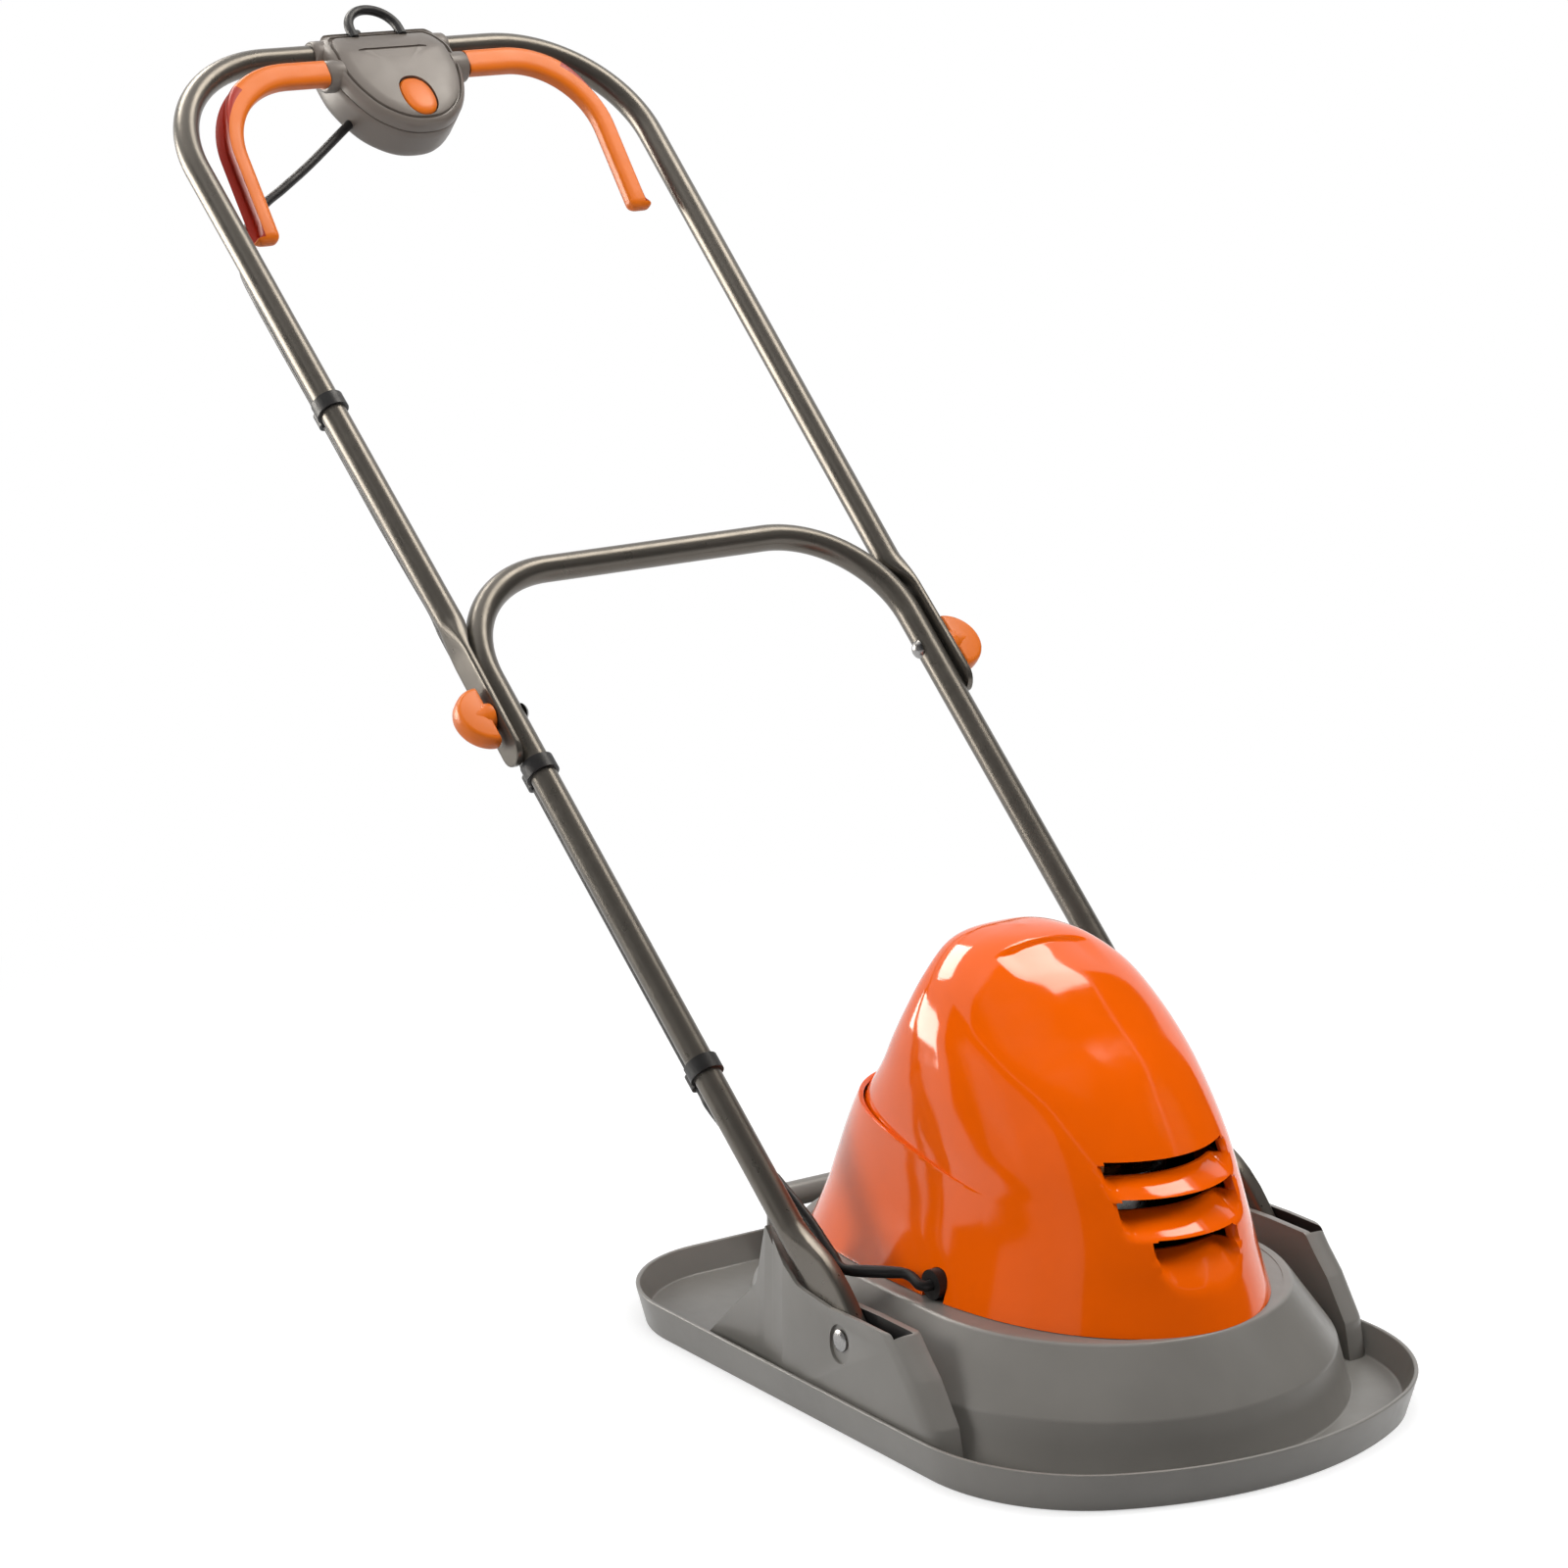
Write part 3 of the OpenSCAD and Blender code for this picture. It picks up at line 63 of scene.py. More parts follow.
# Places taken over from the solids, in millimetres. A place on the handle is given along its leg.
PIVOT = (33.0, 62.2)
LEAN = math.radians(49.6)
TUBE_R = 9.5
LOW = {"base": 168.4, "splay": 0.8, "length": 621.0, "bend": 84.0}
UP = {"base": 169.33, "splay": 1.4, "length": 1110.0, "bend": 98.0}
BOLT_T = 506.0
BUTTON_T = 1048.0
LEVER_AXIS = (1084.0, 7.0)
LEVER_SLANT = math.radians(10.5)
BOX_LOW, BOX_LEN, BOX_HALF, BOX_MID = 1022.0, 101.0, 53.0, 1074.0
DECK = {"half": 183.0, "front": 198.0, "rear": 318.0, "front_r": 260.0, "corner_r": 120.0, "rear_r": 85.0}
UNDERSIDE, TRAY, LIP = 5.0, 8.0, 26.0
HOOD_BACK, HOOD_TOP = 110.0, 80.0
COVER = {"half": 113.0, "front": 126.0, "back": 218.0, "height": 214.0, "mid": 80.0}
LEAD_NOTCH = (21.0, 90.0)


# Plain helpers
def linear(red, green, blue):
    """Scene-linear colour of an sRGB colour given as 0 to 255."""
    def one(v):
        v /= 255.0
        return v / 12.92 if v <= 0.04045 else ((v + 0.055) / 1.055) ** 2.4
    return one(red), one(green), one(blue)


def smoothstep(a, b, v):
    """0 up to a, 1 from b on and a soft rise between."""
    u = min(1.0, max(0.0, (v - a) / (b - a)))
    return u * u * (3 - 2 * u)


def in_handle(x, t, h):
    """A place on the handle: across, along the leg and above its plane, in millimetres."""
    s, c = math.sin(LEAN), math.cos(LEAN)
    return Vector((x, PIVOT[0] + t * s - h * c, PIVOT[1] + t * c + h * s)) * MM


def in_lever(x, along, up):
    """A place on the lever, seen from the shaft that it turns on."""
    s, c = math.sin(LEVER_SLANT), math.cos(LEVER_SLANT)
    return in_handle(x, LEVER_AXIS[0] + along * c - up * s, LEVER_AXIS[1] + along * s + up * c)


def catmull(points, steps, closed=False):
    """A smooth path through points of any dimension."""
    n = len(points)
    last = n if closed else n - 1
    out = []
    for i in range(last):
        if closed:
            a, b, c, d = (points[(i + k) % n] for k in (-1, 0, 1, 2))
        else:
            a, b, c, d = (points[min(max(i + k, 0), n - 1)] for k in (-1, 0, 1, 2))
        for k in range(steps):
            u = k / steps
            out.append(tuple(
                0.5 * (2 * q + (r - p) * u + (2 * p - 5 * q + 4 * r - s) * u * u
                       + (3 * q - p - 3 * r + s) * u ** 3)
                for p, q, r, s in zip(a, b, c, d)))
    if not closed:
        out.append(tuple(points[-1]))
    return out


def rounded(points, radii, steps=5):
    """An open outline of flat points whose inner corners are turned into arcs."""
    out = [points[0]]
    for i in range(1, len(points) - 1):
        p, q, r = (Vector(points[k]) for k in (i - 1, i, i + 1))
        a, b = (p - q).normalized(), (r - q).normalized()
        turn = math.acos(max(-1.0, min(1.0, a.dot(b))))
        if radii[i] <= 0 or turn > math.pi - 0.02:
            out.append(tuple(q))
            continue
        back = min(radii[i] / math.tan(turn / 2), 0.48 * (p - q).length, 0.48 * (r - q).length)
        for k in range(steps + 1):
            u = k / steps
            out.append(tuple((q + a * back) * (1 - u) ** 2 + q * 2 * u * (1 - u) + (q + b * back) * u * u))
    out.append(points[-1])
    return out


def squircle(a, b, power, count):
    """Points of a rounded box outline; power 2 is an ellipse."""
    out = []
    for k in range(count):
        c, s = math.cos(2 * math.pi * k / count), math.sin(2 * math.pi * k / count)
        e = 2.0 / power
        out.append((math.copysign(abs(c) ** e, c) * a, math.copysign(abs(s) ** e, s) * b))
    return out


def level(outline, z):
    """A flat outline seen from above, at one height."""
    return [Vector((x, y, z)) * MM for x, y in outline]


def side_block(outline, x0, x1):
    """A flat outline seen from the side, as thick as x0 to x1."""
    return [[Vector((x, y, z)) * MM for y, z in outline] for x in (x0, x1)]


def metres(rings):
    """Rings of places in millimetres, in Blender's unit."""
    return [[Vector(p) * MM for p in ring] for ring in rings]


def discs(place, sections, count):
    """Rings of a turned piece. A section is (place along the axis, radius)."""
    return [[place(x, y, z) for y, z in squircle(r, r, 2.0, count)] for x, r in sections]


def heading(path, i):
    """Direction of a flat path at one of its points."""
    a, b = path[max(i - 1, 0)], path[min(i + 1, len(path) - 1)]
    return Vector((b[0] - a[0], b[1] - a[1])).normalized()


class Shell:
    """Collects the vertices and faces of one piece. A face's mark picks its finish from the piece's list."""

    def __init__(self):
        self.verts = []
        self.faces = []
        self.marks = []

    def loft(self, rings, start=True, end=True, loop=False, mark=0):
        """Skins a row of closed rings that all have as many points. The mark is a number or a rule."""
        base, n, m = len(self.verts), len(rings[0]), len(rings)
        self.verts += [Vector(p) for ring in rings for p in ring]
        for i in range(m if loop else m - 1):
            for j in range(n):
                k = (j + 1) % n
                low, high = base + i * n, base + ((i + 1) % m) * n
                self.faces.append((low + j, low + k, high + k, high + j))
                self.marks.append(mark(i, j) if callable(mark) else mark)
        for used, row in ((start and not loop, 0), (end and not loop, m - 1)):
            if used:
                self.faces.append(tuple(base + row * n + j for j in range(n)))
                self.marks.append(0 if callable(mark) else mark)
        return self

    def mesh(self, name, sharp=35.0):
        """The piece as a mesh. Its two empty material places keep the marks through later cuts."""
        mesh = bpy.data.meshes.new(name)
        mesh.from_pydata(self.verts, [], self.faces)
        for _ in range(2):
            mesh.materials.append(None)
        mesh.polygons.foreach_set("material_index", self.marks)
        bm = bmesh.new()
        bm.from_mesh(mesh)
        bmesh.ops.remove_doubles(bm, verts=bm.verts, dist=1e-6)
        bmesh.ops.recalc_face_normals(bm, faces=bm.faces)
        bm.to_mesh(mesh)
        bm.free()
        return smoothed(mesh, sharp)


def smoothed(mesh, sharp):
    """Shades a mesh smooth, apart from edges that turn by more than the angle."""
    mesh.shade_smooth()
    mesh.set_sharp_from_angle(angle=math.radians(sharp))
    return mesh


def add_piece(name, mesh, body, materials, stands_for=()):
    """Puts a finished mesh on its body. A piece given no body stays where it is, unattached."""
    obj = loose(name, mesh)
    marks = [min(face.material_index, len(materials) - 1) for face in mesh.polygons]
    mesh.materials.clear()
    for material in materials:
        mesh.materials.append(material)
    mesh.polygons.foreach_set("material_index", marks)
    if body:
        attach(obj, body)
    if stands_for:
        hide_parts(*stands_for)
    return obj


def loose(name, data):
    """A new object in the scene."""
    obj = bpy.data.objects.new(name, data)
    bpy.context.scene.collection.objects.link(obj)
    return obj


def settled(obj, sharp=35.0):
    """The plain mesh that an object's modifiers make. The object goes."""
    graph = bpy.context.evaluated_depsgraph_get()
    mesh = bpy.data.meshes.new_from_object(obj.evaluated_get(graph))
    old = obj.data
    mesh.name = old.name
    bpy.data.objects.remove(obj)
    bpy.data.meshes.remove(old)
    return smoothed(mesh, sharp)


def cut_away(mesh, cutter_mesh, name):
    """The mesh less the cutter."""
    body, tool = loose(name + "_raw", mesh), loose(name + "_cutter", cutter_mesh)
    cut = body.modifiers.new("cut", "BOOLEAN")
    cut.operation = "DIFFERENCE"
    cut.solver = "EXACT"
    cut.object = tool
    out = settled(body)
    bpy.data.objects.remove(tool)
    return out


def add_bevel(body, width, segments, angle):
    """Rounds the edges that turn by more than the angle."""
    bevel = body.modifiers.new("edge", "BEVEL")
    bevel.width = width * MM
    bevel.segments = segments
    bevel.limit_method = "ANGLE"
    bevel.angle_limit = math.radians(angle)


# Materials
class Finish:
    """A small builder of node materials on Object coordinates."""

    def __init__(self, name):
        self.material = bpy.data.materials.new(name)
        self.material.use_nodes = True
        self.tree = self.material.node_tree
        self.tree.nodes.clear()
        self.out = self.node("ShaderNodeOutputMaterial")
        self.shader = self.node("ShaderNodeBsdfPrincipled")
        self.coords = self.node("ShaderNodeTexCoord")
        self.link(self.shader.outputs["BSDF"], self.out.inputs["Surface"])

    def link(self, a, b):
        self.tree.links.new(a, b)

    def node(self, kind, **values):
        """A new node with values for its inputs."""
        return fill_in(self.tree.nodes.new(kind), values)

    def set(self, **values):
        """Values for the inputs of the surface itself."""
        fill_in(self.shader, values)

    def noise(self, scale, detail=3.0, rough=0.55):
        node = self.node("ShaderNodeTexNoise", Scale=scale, Detail=detail, Roughness=rough)
        self.link(self.coords.outputs["Object"], node.inputs["Vector"])
        return node.outputs["Fac"]

    def ramp(self, value, low, high):
        """The middle of a noise's range, spread from low to high."""
        node = self.node("ShaderNodeMapRange", From_Min=0.3, From_Max=0.7, To_Min=low, To_Max=high)
        self.link(value, node.inputs["Value"])
        return node.outputs["Result"]

    def colour(self, value, first, second):
        node = self.node("ShaderNodeMix")
        node.data_type = "RGBA"
        node.inputs[6].default_value = (*first, 1.0)
        node.inputs[7].default_value = (*second, 1.0)
        self.link(self.ramp(value, 0.0, 1.0), node.inputs[0])
        self.link(node.outputs[2], self.shader.inputs["Base Color"])

    def roughness(self, value, low, high):
        self.link(self.ramp(value, low, high), self.shader.inputs["Roughness"])

    def bump(self, value, strength, distance):
        node = self.node("ShaderNodeBump", Strength=strength, Distance=distance)
        self.link(value, node.inputs["Height"])
        self.link(node.outputs["Normal"], self.shader.inputs["Normal"])


def fill_in(node, values):
    """Sets a node's inputs by their names, with _ for a space."""
    for key, value in values.items():
        node.inputs[key.replace("_", " ")].default_value = value
    return node


def shade(colour, gain):
    """A colour made darker or lighter."""
    return tuple(min(1.0, c * gain) for c in colour)


def make_finishes(colours):
    """Every finish of the mower, by the record's slot name."""
    made = {}

    def plastic(name, base, rough, grain, spread, bump):
        f = Finish(name)
        f.colour(f.noise(14.0), shade(base, 1 - spread), shade(base, 1 + spread))
        f.roughness(f.noise(90.0, 2.0), *rough)
        f.bump(f.noise(grain, 2.0), bump, 0.0002)
        made[name] = f.material
        return f

    plastic("cover_plastic", colours.cover, (0.07, 0.11), 260.0, 0.04, 0.01).set(Specular_IOR_Level=0.5)
    plastic("deck_plastic", colours.deck, (0.3, 0.37), 700.0, 0.07, 0.02)
    plastic("box_plastic", colours.box, (0.34, 0.42), 1500.0, 0.06, 0.08)
    plastic("orange_plastic", colours.trim, (0.32, 0.4), 500.0, 0.05, 0.012).set(Specular_IOR_Level=0.35)
    # The lever's channel finish is painted shade: dark red for the shade that falls within the channel.
    plastic("lever_inside", colours.inside, (0.36, 0.46), 500.0, 0.08, 0.02)
    # Black plastic, which also serves as painted shade on the dome's inner skin and on the pods' slot faces.
    plastic("black_plastic", colours.black, (0.4, 0.52), 1200.0, 0.2, 0.12)
    plastic("lead_rubber", colours.black, (0.42, 0.55), 900.0, 0.25, 0.15)
    paint = plastic("handle_paint", colours.tube, (0.27, 0.34), 300.0, 0.05, 0.004)
    paint.set(Metallic=0.7, Specular_IOR_Level=0.5)

    def metal(name, base, rough, scale):
        f = Finish(name)
        f.colour(f.noise(scale), shade(base, 0.88), shade(base, 1.08))
        f.roughness(f.noise(scale * 4, 2.0), *rough)
        f.bump(f.noise(scale * 9, 2.0), 0.08, 0.0001)
        f.set(Metallic=1.0)
        made[name] = f.material

    metal("steel", colours.steel, (0.24, 0.36), 60.0)
    metal("motor_alloy", (0.42, 0.42, 0.43), (0.42, 0.55), 80.0)
    metal("copper", (0.6, 0.22, 0.08), (0.3, 0.42), 120.0)
    metal("nut_brass", (0.66, 0.48, 0.18), (0.28, 0.38), 90.0)
    return made


FINISH = {}


# Properties
class MowerColours(bpy.types.PropertyGroup):
    """Colours of the finishes."""
    cover: bpy.props.FloatVectorProperty(
        name="Cover", description="Gloss plastic of the motor cover", subtype="COLOR",
        default=linear(233, 92, 0), min=0.0, max=1.0)
    trim: bpy.props.FloatVectorProperty(
        name="Trim", description="Satin plastic of the lever, button and knobs", subtype="COLOR",
        default=linear(208, 102, 16), min=0.0, max=1.0)
    # Painted shade: the dark red that stands for the shade within the lever's side channel.
    inside: bpy.props.FloatVectorProperty(
        name="Lever inside", description="Channel along the outer side of the lever", subtype="COLOR",
        default=linear(150, 30, 8), min=0.0, max=1.0)
    deck: bpy.props.FloatVectorProperty(
        name="Deck", description="Moulded plastic of the deck", subtype="COLOR",
        default=linear(117, 114, 109), min=0.0, max=1.0)
    box: bpy.props.FloatVectorProperty(
        name="Switch box", description="Moulded plastic of the switch box", subtype="COLOR",
        default=linear(106, 98, 91), min=0.0, max=1.0)
    tube: bpy.props.FloatVectorProperty(
        name="Handle", description="Paint of the handle tubes", subtype="COLOR",
        default=linear(101, 96, 89), min=0.0, max=1.0)
    black: bpy.props.FloatVectorProperty(
        name="Black", description="Clips, lead and inner pieces", subtype="COLOR",
        default=linear(26, 25, 25), min=0.0, max=1.0)
    steel: bpy.props.FloatVectorProperty(
        name="Steel", description="Plated bolts and screws", subtype="COLOR",
        default=linear(146, 145, 144), min=0.0, max=1.0)


class MowerSizes(bpy.types.PropertyGroup):
    """Sizes of the visible detail."""
    lip_round: bpy.props.FloatProperty(
        name="Lip rounding", description="Radius of the lip's edge", default=1.4 * MM, unit="LENGTH")
    shoulder_round: bpy.props.FloatProperty(
        name="Shoulder rounding", description="Radius of the hood's shoulder", default=9.0 * MM, unit="LENGTH")
    louvre_depth: bpy.props.FloatProperty(
        name="Louvre depth", description="How far a ledge sinks under its slot", default=14.0 * MM,
        unit="LENGTH")
    slot_height: bpy.props.FloatProperty(
        name="Slot height", description="Height of a vent slot", default=10.8 * MM, unit="LENGTH")
    skirt_proud: bpy.props.FloatProperty(
        name="Skirt", description="How far the rear skirt stands off the dome", default=4.6 * MM, unit="LENGTH")
    lead_radius: bpy.props.FloatProperty(
        name="Lead radius", description="Radius of the motor lead", default=3.5 * MM, unit="LENGTH")


# Deck
def arc(x, y, radius, first, last, count):
    """Places round a centre, seen from above, short of the last angle. Angle 0 is at the front."""
    angles = (first + (last - first) * k / count for k in range(count))
    return [(x + radius * math.sin(a), y - radius * math.cos(a)) for a in angles]


def both_sides(half, back):
    """A whole outline, from its right half and the place of its back."""
    return half + [(0.0, back)] + [(-x, y) for x, y in reversed(half[1:])]


def rim_points(inset):
    """The lip's outline seen from above, moved inward."""
    d = DECK
    side, back = d["half"] - inset, d["rear"] - inset
    corner_x = d["half"] - d["corner_r"]
    front_cy = d["front_r"] - d["front"]
    corner_cy = front_cy - math.sqrt((d["front_r"] - d["corner_r"]) ** 2 - corner_x ** 2)
    turn = math.atan2(corner_x, front_cy - corner_cy)
    rear_x, rear_cy = d["half"] - d["rear_r"], d["rear"] - d["rear_r"]
    out = arc(0, front_cy, d["front_r"] - inset, 0, turn, 16)
    out += arc(corner_x, corner_cy, d["corner_r"] - inset, turn, math.pi / 2, 20)
    out += [(side, corner_cy + (rear_cy - corner_cy) * k / 22) for k in range(22)]
    out += arc(rear_x, rear_cy, d["rear_r"] - inset, math.pi / 2, math.pi, 24)
    out += [(rear_x * (1 - k / 10), back) for k in range(10)]
    return both_sides(out, back)


def hood_points(radius):
    """The raised hood's outline seen from above, with as many places as the lip's."""
    out = arc(0, 0, radius, 0, math.pi / 2, 36)
    out += [(radius, HOOD_BACK * k / 22) for k in range(22)]
    out += arc(0, HOOD_BACK, radius, math.pi / 2, math.pi, 34)
    return both_sides(out, HOOD_BACK + radius)


def deck_shell(sizes):
    """Lip, tray and hood as one skin, and the plate that closes the hood's top."""
    lip, shoulder = sizes.lip_round / MM, sizes.shoulder_round / MM
    rim = rounded(
        [(12, 0), (7, 0), (0, LIP), (3, LIP), (10, TRAY), (12.5, TRAY)], [0, 1.6, lip, lip, 3, 0])
    wall = rounded(
        [(168.5, TRAY), (166, TRAY), (157, 40), (127, HOOD_TOP), (121, HOOD_TOP)], [0, 2, shoulder, 5, 0], 8)
    inner = [(121, HOOD_TOP - 3), (138, 57), (154, 37), (163, UNDERSIDE)]
    rings = [level(rim_points(inset), z) for inset, z in rim]
    rings += [level(hood_points(radius), z) for radius, z in wall + inner]
    rings.append(level(rim_points(15), UNDERSIDE))
    shell = Shell().loft(rings, loop=True)
    shell.loft([level(hood_points(122), z) for z in (77.2, 79.6)])
    return shell.mesh("deck_shell", 40.0)


# A pod seen from the side, the rounding of its corners, its slot, its outer face and the room for the foot
POD_OUTLINE = [
    (-72, 8), (-66, 31.8), (-47.1, 58), (-34, 71), (-24.1, 82), (12.9, 82), (43.3, 81), (78.9, 85),
    (100.9, 100), (120, 116), (127.1, 90.1), (132.1, 70), (159.9, 45), (190, 14), (190, 8)]
POD_ROUNDS = [0, 8, 14, 8, 6, 10, 14, 16, 10, 4, 6, 12, 16, 4, 0, 0]
POD_SLOT = (-174.9, -161.9)
POD_FACE = -178.0
POD_FOOT_R = 21.5


def pod_tools():
    """Cutters of a pod: the slot that the handle's foot swings in, the screw's seat and the hollow behind."""
    rest, swing, reach = math.pi / 2 - LEAN, math.radians(100), 300
    leg_r = 11.8
    py, pz = PIVOT
    heel = [(py + POD_FOOT_R * math.cos(a), pz + POD_FOOT_R * math.sin(a))
            for a in (rest + math.pi / 2 + swing + (math.pi - swing) * k / 14 for k in range(15))]
    lower = (py + leg_r * math.sin(rest) + reach * math.cos(rest),
             pz - leg_r * math.cos(rest) + reach * math.sin(rest))
    upper = (heel[0][0] + reach * math.cos(rest + swing), heel[0][1] + reach * math.sin(rest + swing))
    slot = side_block(heel + [lower, (py, pz + reach), upper], *POD_SLOT)
    seat = side_block([(py - 1 + y, pz - 2 + z) for y, z in squircle(10.5, 13.0, 2.2, 40)], -182, -175.8)
    scoop_r, scoop_y, depth, beyond = 228.0, 146.0, 6.0, -190.0
    scoop = [(POD_FACE - scoop_r + depth + scoop_r * math.cos(a), scoop_y + scoop_r * math.sin(a))
             for a in (math.radians(-17 + 34 * k / 40) for k in range(41))]
    scoop += [(beyond, scoop[-1][1]), (beyond, scoop[0][1])]
    return slot, seat, [level(scoop, z) for z in (0, 140)]


def pod_mesh(side):
    """A handle pod: rounded at its front, hollowed behind, slotted for the handle's foot, with black painted
    shade on the slot's walls and floor.
    """
    outline = rounded(POD_OUTLINE + [POD_OUTLINE[0]], POD_ROUNDS, 4)[:-1]
    drawn_back = (
        (POD_FACE, 15), (-177.3, 11), (-175.6, 6.6), (-172.6, 3), (-168.5, 0.8), (-163, 0), (-157, 0))
    mesh = Shell().loft([
        [Vector((x, y + back * smoothstep(30, -40, y), z)) * MM for y, z in outline]
        for x, back in drawn_back]).mesh("pod", 30.0)
    for tool in pod_tools():
        mesh = cut_away(mesh, Shell().loft(tool).mesh("pod_tool"), "pod")
    # The slot's side walls and floor take the second finish, black as painted shade within the slot.
    for face in mesh.polygons:
        c = face.center / MM
        wall = min(abs(c.x - x) for x in POD_SLOT) < 0.05 and abs(face.normal.x) > 0.9
        from_pivot = math.hypot(c.y - PIVOT[0], c.z - PIVOT[1])
        floor = abs(from_pivot - POD_FOOT_R) < 0.4 and POD_SLOT[0] < c.x < POD_SLOT[1]
        face.material_index = int(wall or floor)
    body = loose("pod_raw", mesh)
    add_bevel(body, 1.0, 3, 32)
    mesh = settled(body, 40.0)
    if side > 0:
        for v in mesh.vertices:
            v.co.x = -v.co.x
        mesh.flip_normals()
    return mesh


def carry_bar():
    """The bar across the rear of the deck and its two posts."""
    bar_y, bar_z, bar_r, bar_half, post_x = 306, 51, 8.8, 43, 36
    rings = []
    for k in range(41):
        x = -bar_half + 2 * bar_half * k / 40
        end = max(0.0, (abs(x) - 35.5) / 7.6)
        r = bar_r * math.sqrt(max(0.02, 1 - end * end))
        rings.append([Vector((x, bar_y + y, bar_z + z)) * MM for y, z in squircle(r, r, 2.0, 32)])
    shell = Shell().loft(rings)
    for s in (-1, 1):
        shell.loft([
            [Vector((s * post_x + x, bar_y + min(y, 5.5), z)) * MM for x, y in squircle(r, r, 2.0, 28)]
            for z, r in ((6.4, 12), (TRAY, 11), (10, 8.5), (14, 7), (22, 6.3), (36, 6), (46, 6.6), (bar_z, 7))])
    return shell.mesh("carry_bar", 45.0)


class MOWER_OT_deck(bpy.types.Operator):
    """Deck shell, handle pods and carry bar"""
    bl_idname = "mower.deck"
    bl_label = "Deck"

    def execute(self, context):
        finish = [FINISH["deck_plastic"]]
        shell = deck_shell(context.scene.mower_sizes)
        add_piece("deck_shell", shell, "deck", finish, ["deck_hood"])
        # The black second finish of the pods is painted shade on their slot faces.
        with_slot_shade = finish + [FINISH["black_plastic"]]
        add_piece("pod_left", pod_mesh(-1), "deck", with_slot_shade)
        add_piece("pod_right", pod_mesh(1), "deck", with_slot_shade)
        add_piece("carry_bar", carry_bar(), "deck", finish)
        return {"FINISHED"}


# Motor cover
# Each row of the dome: height, half width, front, back and middle, as shares of the cover's sizes
COVER_ROWS = [
    (0, 1, 1, 1, 0.37), (0.12, 0.936, 0.933, 0.945, 0.385), (0.227, 0.885, 0.88, 0.913, 0.4),
    (0.338, 0.855, 0.8, 0.867, 0.44), (0.444, 0.84, 0.698, 0.803, 0.5), (0.565, 0.815, 0.532, 0.706, 0.6),
    (0.67, 0.78, 0.349, 0.644, 0.69), (0.769, 0.73, 0.1, 0.58, 0.79), (0.87, 0.615, -0.135, 0.537, 0.9),
    (0.95, 0.425, -0.36, 0.527, 0.99), (0.987, 0.24, -0.49, 0.477, 1.02), (1.0, 0.02, -0.64, 0.39, 1.03)]
COVER_SIDES = 200
# Each vent: height of the slot's middle, half width, how tall the ledge under it is and how deep it sinks
VENTS = [(177.0, 47.0, 10.2, 1.0), (156.0, 44.0, 13.2, 1.42), (132.0, 30.0, 27.0, 1.42)]


def cover_rows():
    """Outline of the dome at many heights, from a smooth path through its rows."""
    c = COVER
    return [
        (HOOD_TOP + z * c["height"], half * c["half"], -front * c["front"], back * c["back"], mid * c["mid"])
        for z, half, front, back, mid in catmull(COVER_ROWS, 9)]


def cover_ring(row, inset, proud):
    """One level of the dome. The rear half is squarer than the front."""
    z, half, front, back, mid = row
    half, front, back = half - inset, front + inset, back - inset
    ring = []
    for j in range(COVER_SIDES):
        a = 2 * math.pi * j / COVER_SIDES
        c, s = math.cos(a), math.sin(a)
        e = 2 / 3 if s > 0 else 1.0
        b = back - mid if s > 0 else mid - front
        k = proud * smoothstep(0.3, 0.8, (s + 1) / 2)
        ring.append([
            (half + k) * math.copysign(abs(c) ** e, c), mid + (b + k) * math.copysign(abs(s) ** e, s), z])
    return ring


def sink_ledges(ring, depth, slot):
    """Sets the ledge under each slot back, most at its top. The lowest and tallest one is a scoop."""
    for p in ring:
        if p[1] > 40:
            continue
        for height, half, tall, share in VENTS:
            side = abs(p[0]) / half
            if side >= 1.12:
                continue
            scooped = tall > 20
            drop = height + slot / 2 - p[2]
            reach = tall * math.sqrt(max(0.05, 1 - 0.8 * side ** 4)) if scooped else tall
            if not 2.2 <= drop <= reach + slot:
                continue
            along = min(1.0, max(0.0, (reach + slot - drop) / reach))
            sink = share * depth * along ** (2.0 if scooped else 1.0)
            p[1] += sink * (1 - smoothstep(0.86, 1.1, side))
    return ring


def notch_top(ring):
    """Lowers the skin in front of a short ridge across the top."""
    ridge, sink, half = 57, 2.6, 40
    for p in ring:
        if p[2] > 250 and abs(p[0]) < half:
            share = smoothstep(26, ridge, p[1]) * (1 - smoothstep(ridge, ridge + 2.5, p[1]))
            p[2] -= sink * share * (1 - smoothstep(24, half, abs(p[0])))
    return ring


def fine_rows():
    """The dome's rows with more of them at the vents and the top."""
    rows = cover_rows()
    fine = []
    for low, high in zip(rows, rows[1:]):
        parts = 3 if low[0] > 250 else 2
        if 92 < low[0] < 190:
            parts = max(1, round((high[0] - low[0]) / 1.4))
        for k in range(parts):
            fine.append(tuple(a + (b - a) * k / parts for a, b in zip(low, high)))
    return fine + [rows[-1]]


def lead_arch(radius):
    """A cutter for the arch that the lead goes in by, on the near side."""
    y, z = LEAD_NOTCH
    foot = 78
    angles = [math.pi * k / 16 for k in range(17)]
    arch = [(y + radius * math.cos(a), z + radius * math.sin(a)) for a in angles]
    return side_block(arch + [(y - radius, foot), (y + radius, foot)], -150, -75)


